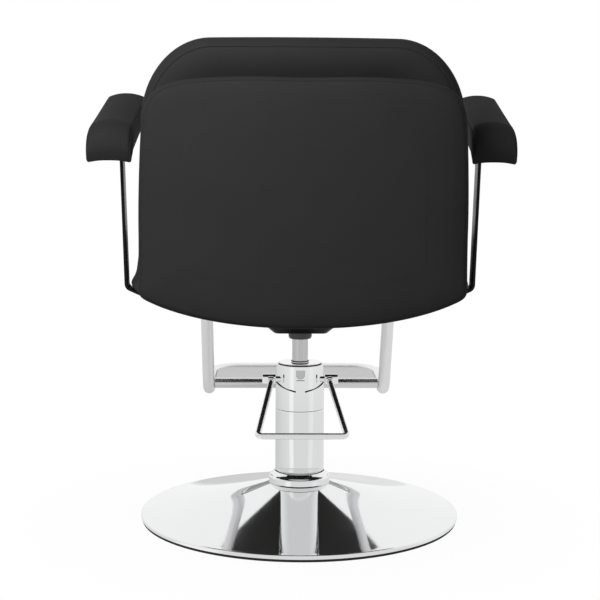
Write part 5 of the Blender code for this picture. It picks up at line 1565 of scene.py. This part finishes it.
# the floor's glow for glossy rays only: painted reflection
grey = ground.node("ShaderNodeEmission", {}, {"Color": painted_reflection, "Strength": 1.0})
lit = Wire(ground, ground.shader.outputs[0])
for_metal = ground.node("ShaderNodeMixShader", {}, {0: mirrored, 1: lit, 2: grey})
whiter = ground.fade(away, 0.30, 0.60, 0.965, 1.0) * seen
ground.show(ground.node("ShaderNodeMixShader", {}, {0: whiter, 1: for_metal, 2: white}), "Material Output")
floor = placed("floor", floor_mesh, ground, smooth=False)
print(f"floor with {len(PAINTED_REFLECTION_GREYS)} greys for mirrors")

# %% [markdown]
# ## Light
# Soft light comes from everywhere, more of it from the camera's side. Polished metal sees a room that is a
# little darker on the camera's side than beyond the chair. A lamp at the camera's left shapes the cover, a weak
# one at its right opens the shadows, and one in front of the chair keeps its far side from going black.

# %% World and lamps
world = bpy.data.worlds.new("studio")
scene.world = world
world.use_nodes = True
room = Nodes(world.node_tree)
seen = room.node("ShaderNodeLightPath", {}, {}, "Is Camera Ray")
way = room.node("ShaderNodeTexCoord", {}, {}, "Generated")
behind = room.node("ShaderNodeSeparateXYZ", {}, {0: way}, "Y")
upward = room.node("ShaderNodeSeparateXYZ", {}, {0: way}, "Z")
mirrored = room.node("ShaderNodeLightPath", {}, {}, "Is Glossy Ray")
for_metal = room.fade(behind, -0.4, 0.5, 0.98, 0.75)
frontal = room.fade(behind, -0.3, 0.8, 0.16, 0.48)
for_cloth = frontal * room.fade(upward, 0.05, 0.8, 1.0, 0.35)
strength = for_cloth + (for_metal - for_cloth) * mirrored
soft = room.node("ShaderNodeBackground", {}, {"Color": WHITE, "Strength": strength})
plain = room.node("ShaderNodeBackground", {}, {"Color": WHITE, "Strength": 1.0})
room.show(room.node("ShaderNodeMixShader", {}, {0: seen, 1: soft, 2: plain}), "World Output")


def lamp(name, place, aim, size, power):
    """A rectangular lamp that no mirror shows."""
    light = bpy.data.lights.new(name, "AREA")
    light.shape, light.size, light.size_y, light.energy = "RECTANGLE", *size, power
    piece = bpy.data.objects.new(name, light)
    piece.location = place
    piece.rotation_euler = (Vector(aim) - Vector(place)).to_track_quat("-Z", "Y").to_euler()
    piece.visible_glossy = False
    scene.collection.objects.link(piece)


lamp("left_lamp", (0.75, 1.35, 1.60), (0.0, 0.1, 0.65), (0.8, 0.8), 26.5)
lamp("right_lamp", (-2.4, 1.6, 1.1), (0.0, 0.0, 0.6), (0.9, 1.2), 3.0)
lamp("front_lamp", (0.9, -2.6, 1.15), (0.0, 0.0, 0.6), (1.6, 1.0), 60.0)
print("soft light and three lamps")

# %% [markdown]
# ## Camera
# The camera was fitted to some sixty edges of the photograph: a long lens a little above the seat, tilted down,
# and rolled by a third of a degree.

# %% Camera
CAMERA_PLACE, FOCAL_LENGTH = (0.0598, 2.5363, 0.7085), 81.57
YAW, PITCH, ROLL = radians(1.334), radians(6.625), radians(0.344)
lens = bpy.data.cameras.new("camera")
lens.sensor_width, lens.lens = 36.0, FOCAL_LENGTH
lens.clip_end = 60.0
camera = bpy.data.objects.new("camera", lens)
ahead = Vector((-sin(YAW) * cos(PITCH), -cos(YAW) * cos(PITCH), -sin(PITCH)))
right = Vector((-cos(YAW), sin(YAW), 0.0))
up = right.cross(ahead)
turned_right = right * cos(ROLL) + up * sin(ROLL)
turned_up = up * cos(ROLL) - right * sin(ROLL)
rows = zip(turned_right, turned_up, -ahead, CAMERA_PLACE)
camera.matrix_world = Matrix((*rows, (0.0, 0.0, 0.0, 1.0)))
scene.collection.objects.link(camera)
scene.camera = camera
scene.view_settings.view_transform = "Standard"
print(f"camera {dist(CAMERA_PLACE, (0.0, 0.0, CAMERA_PLACE[2])):.2f} m behind the column")
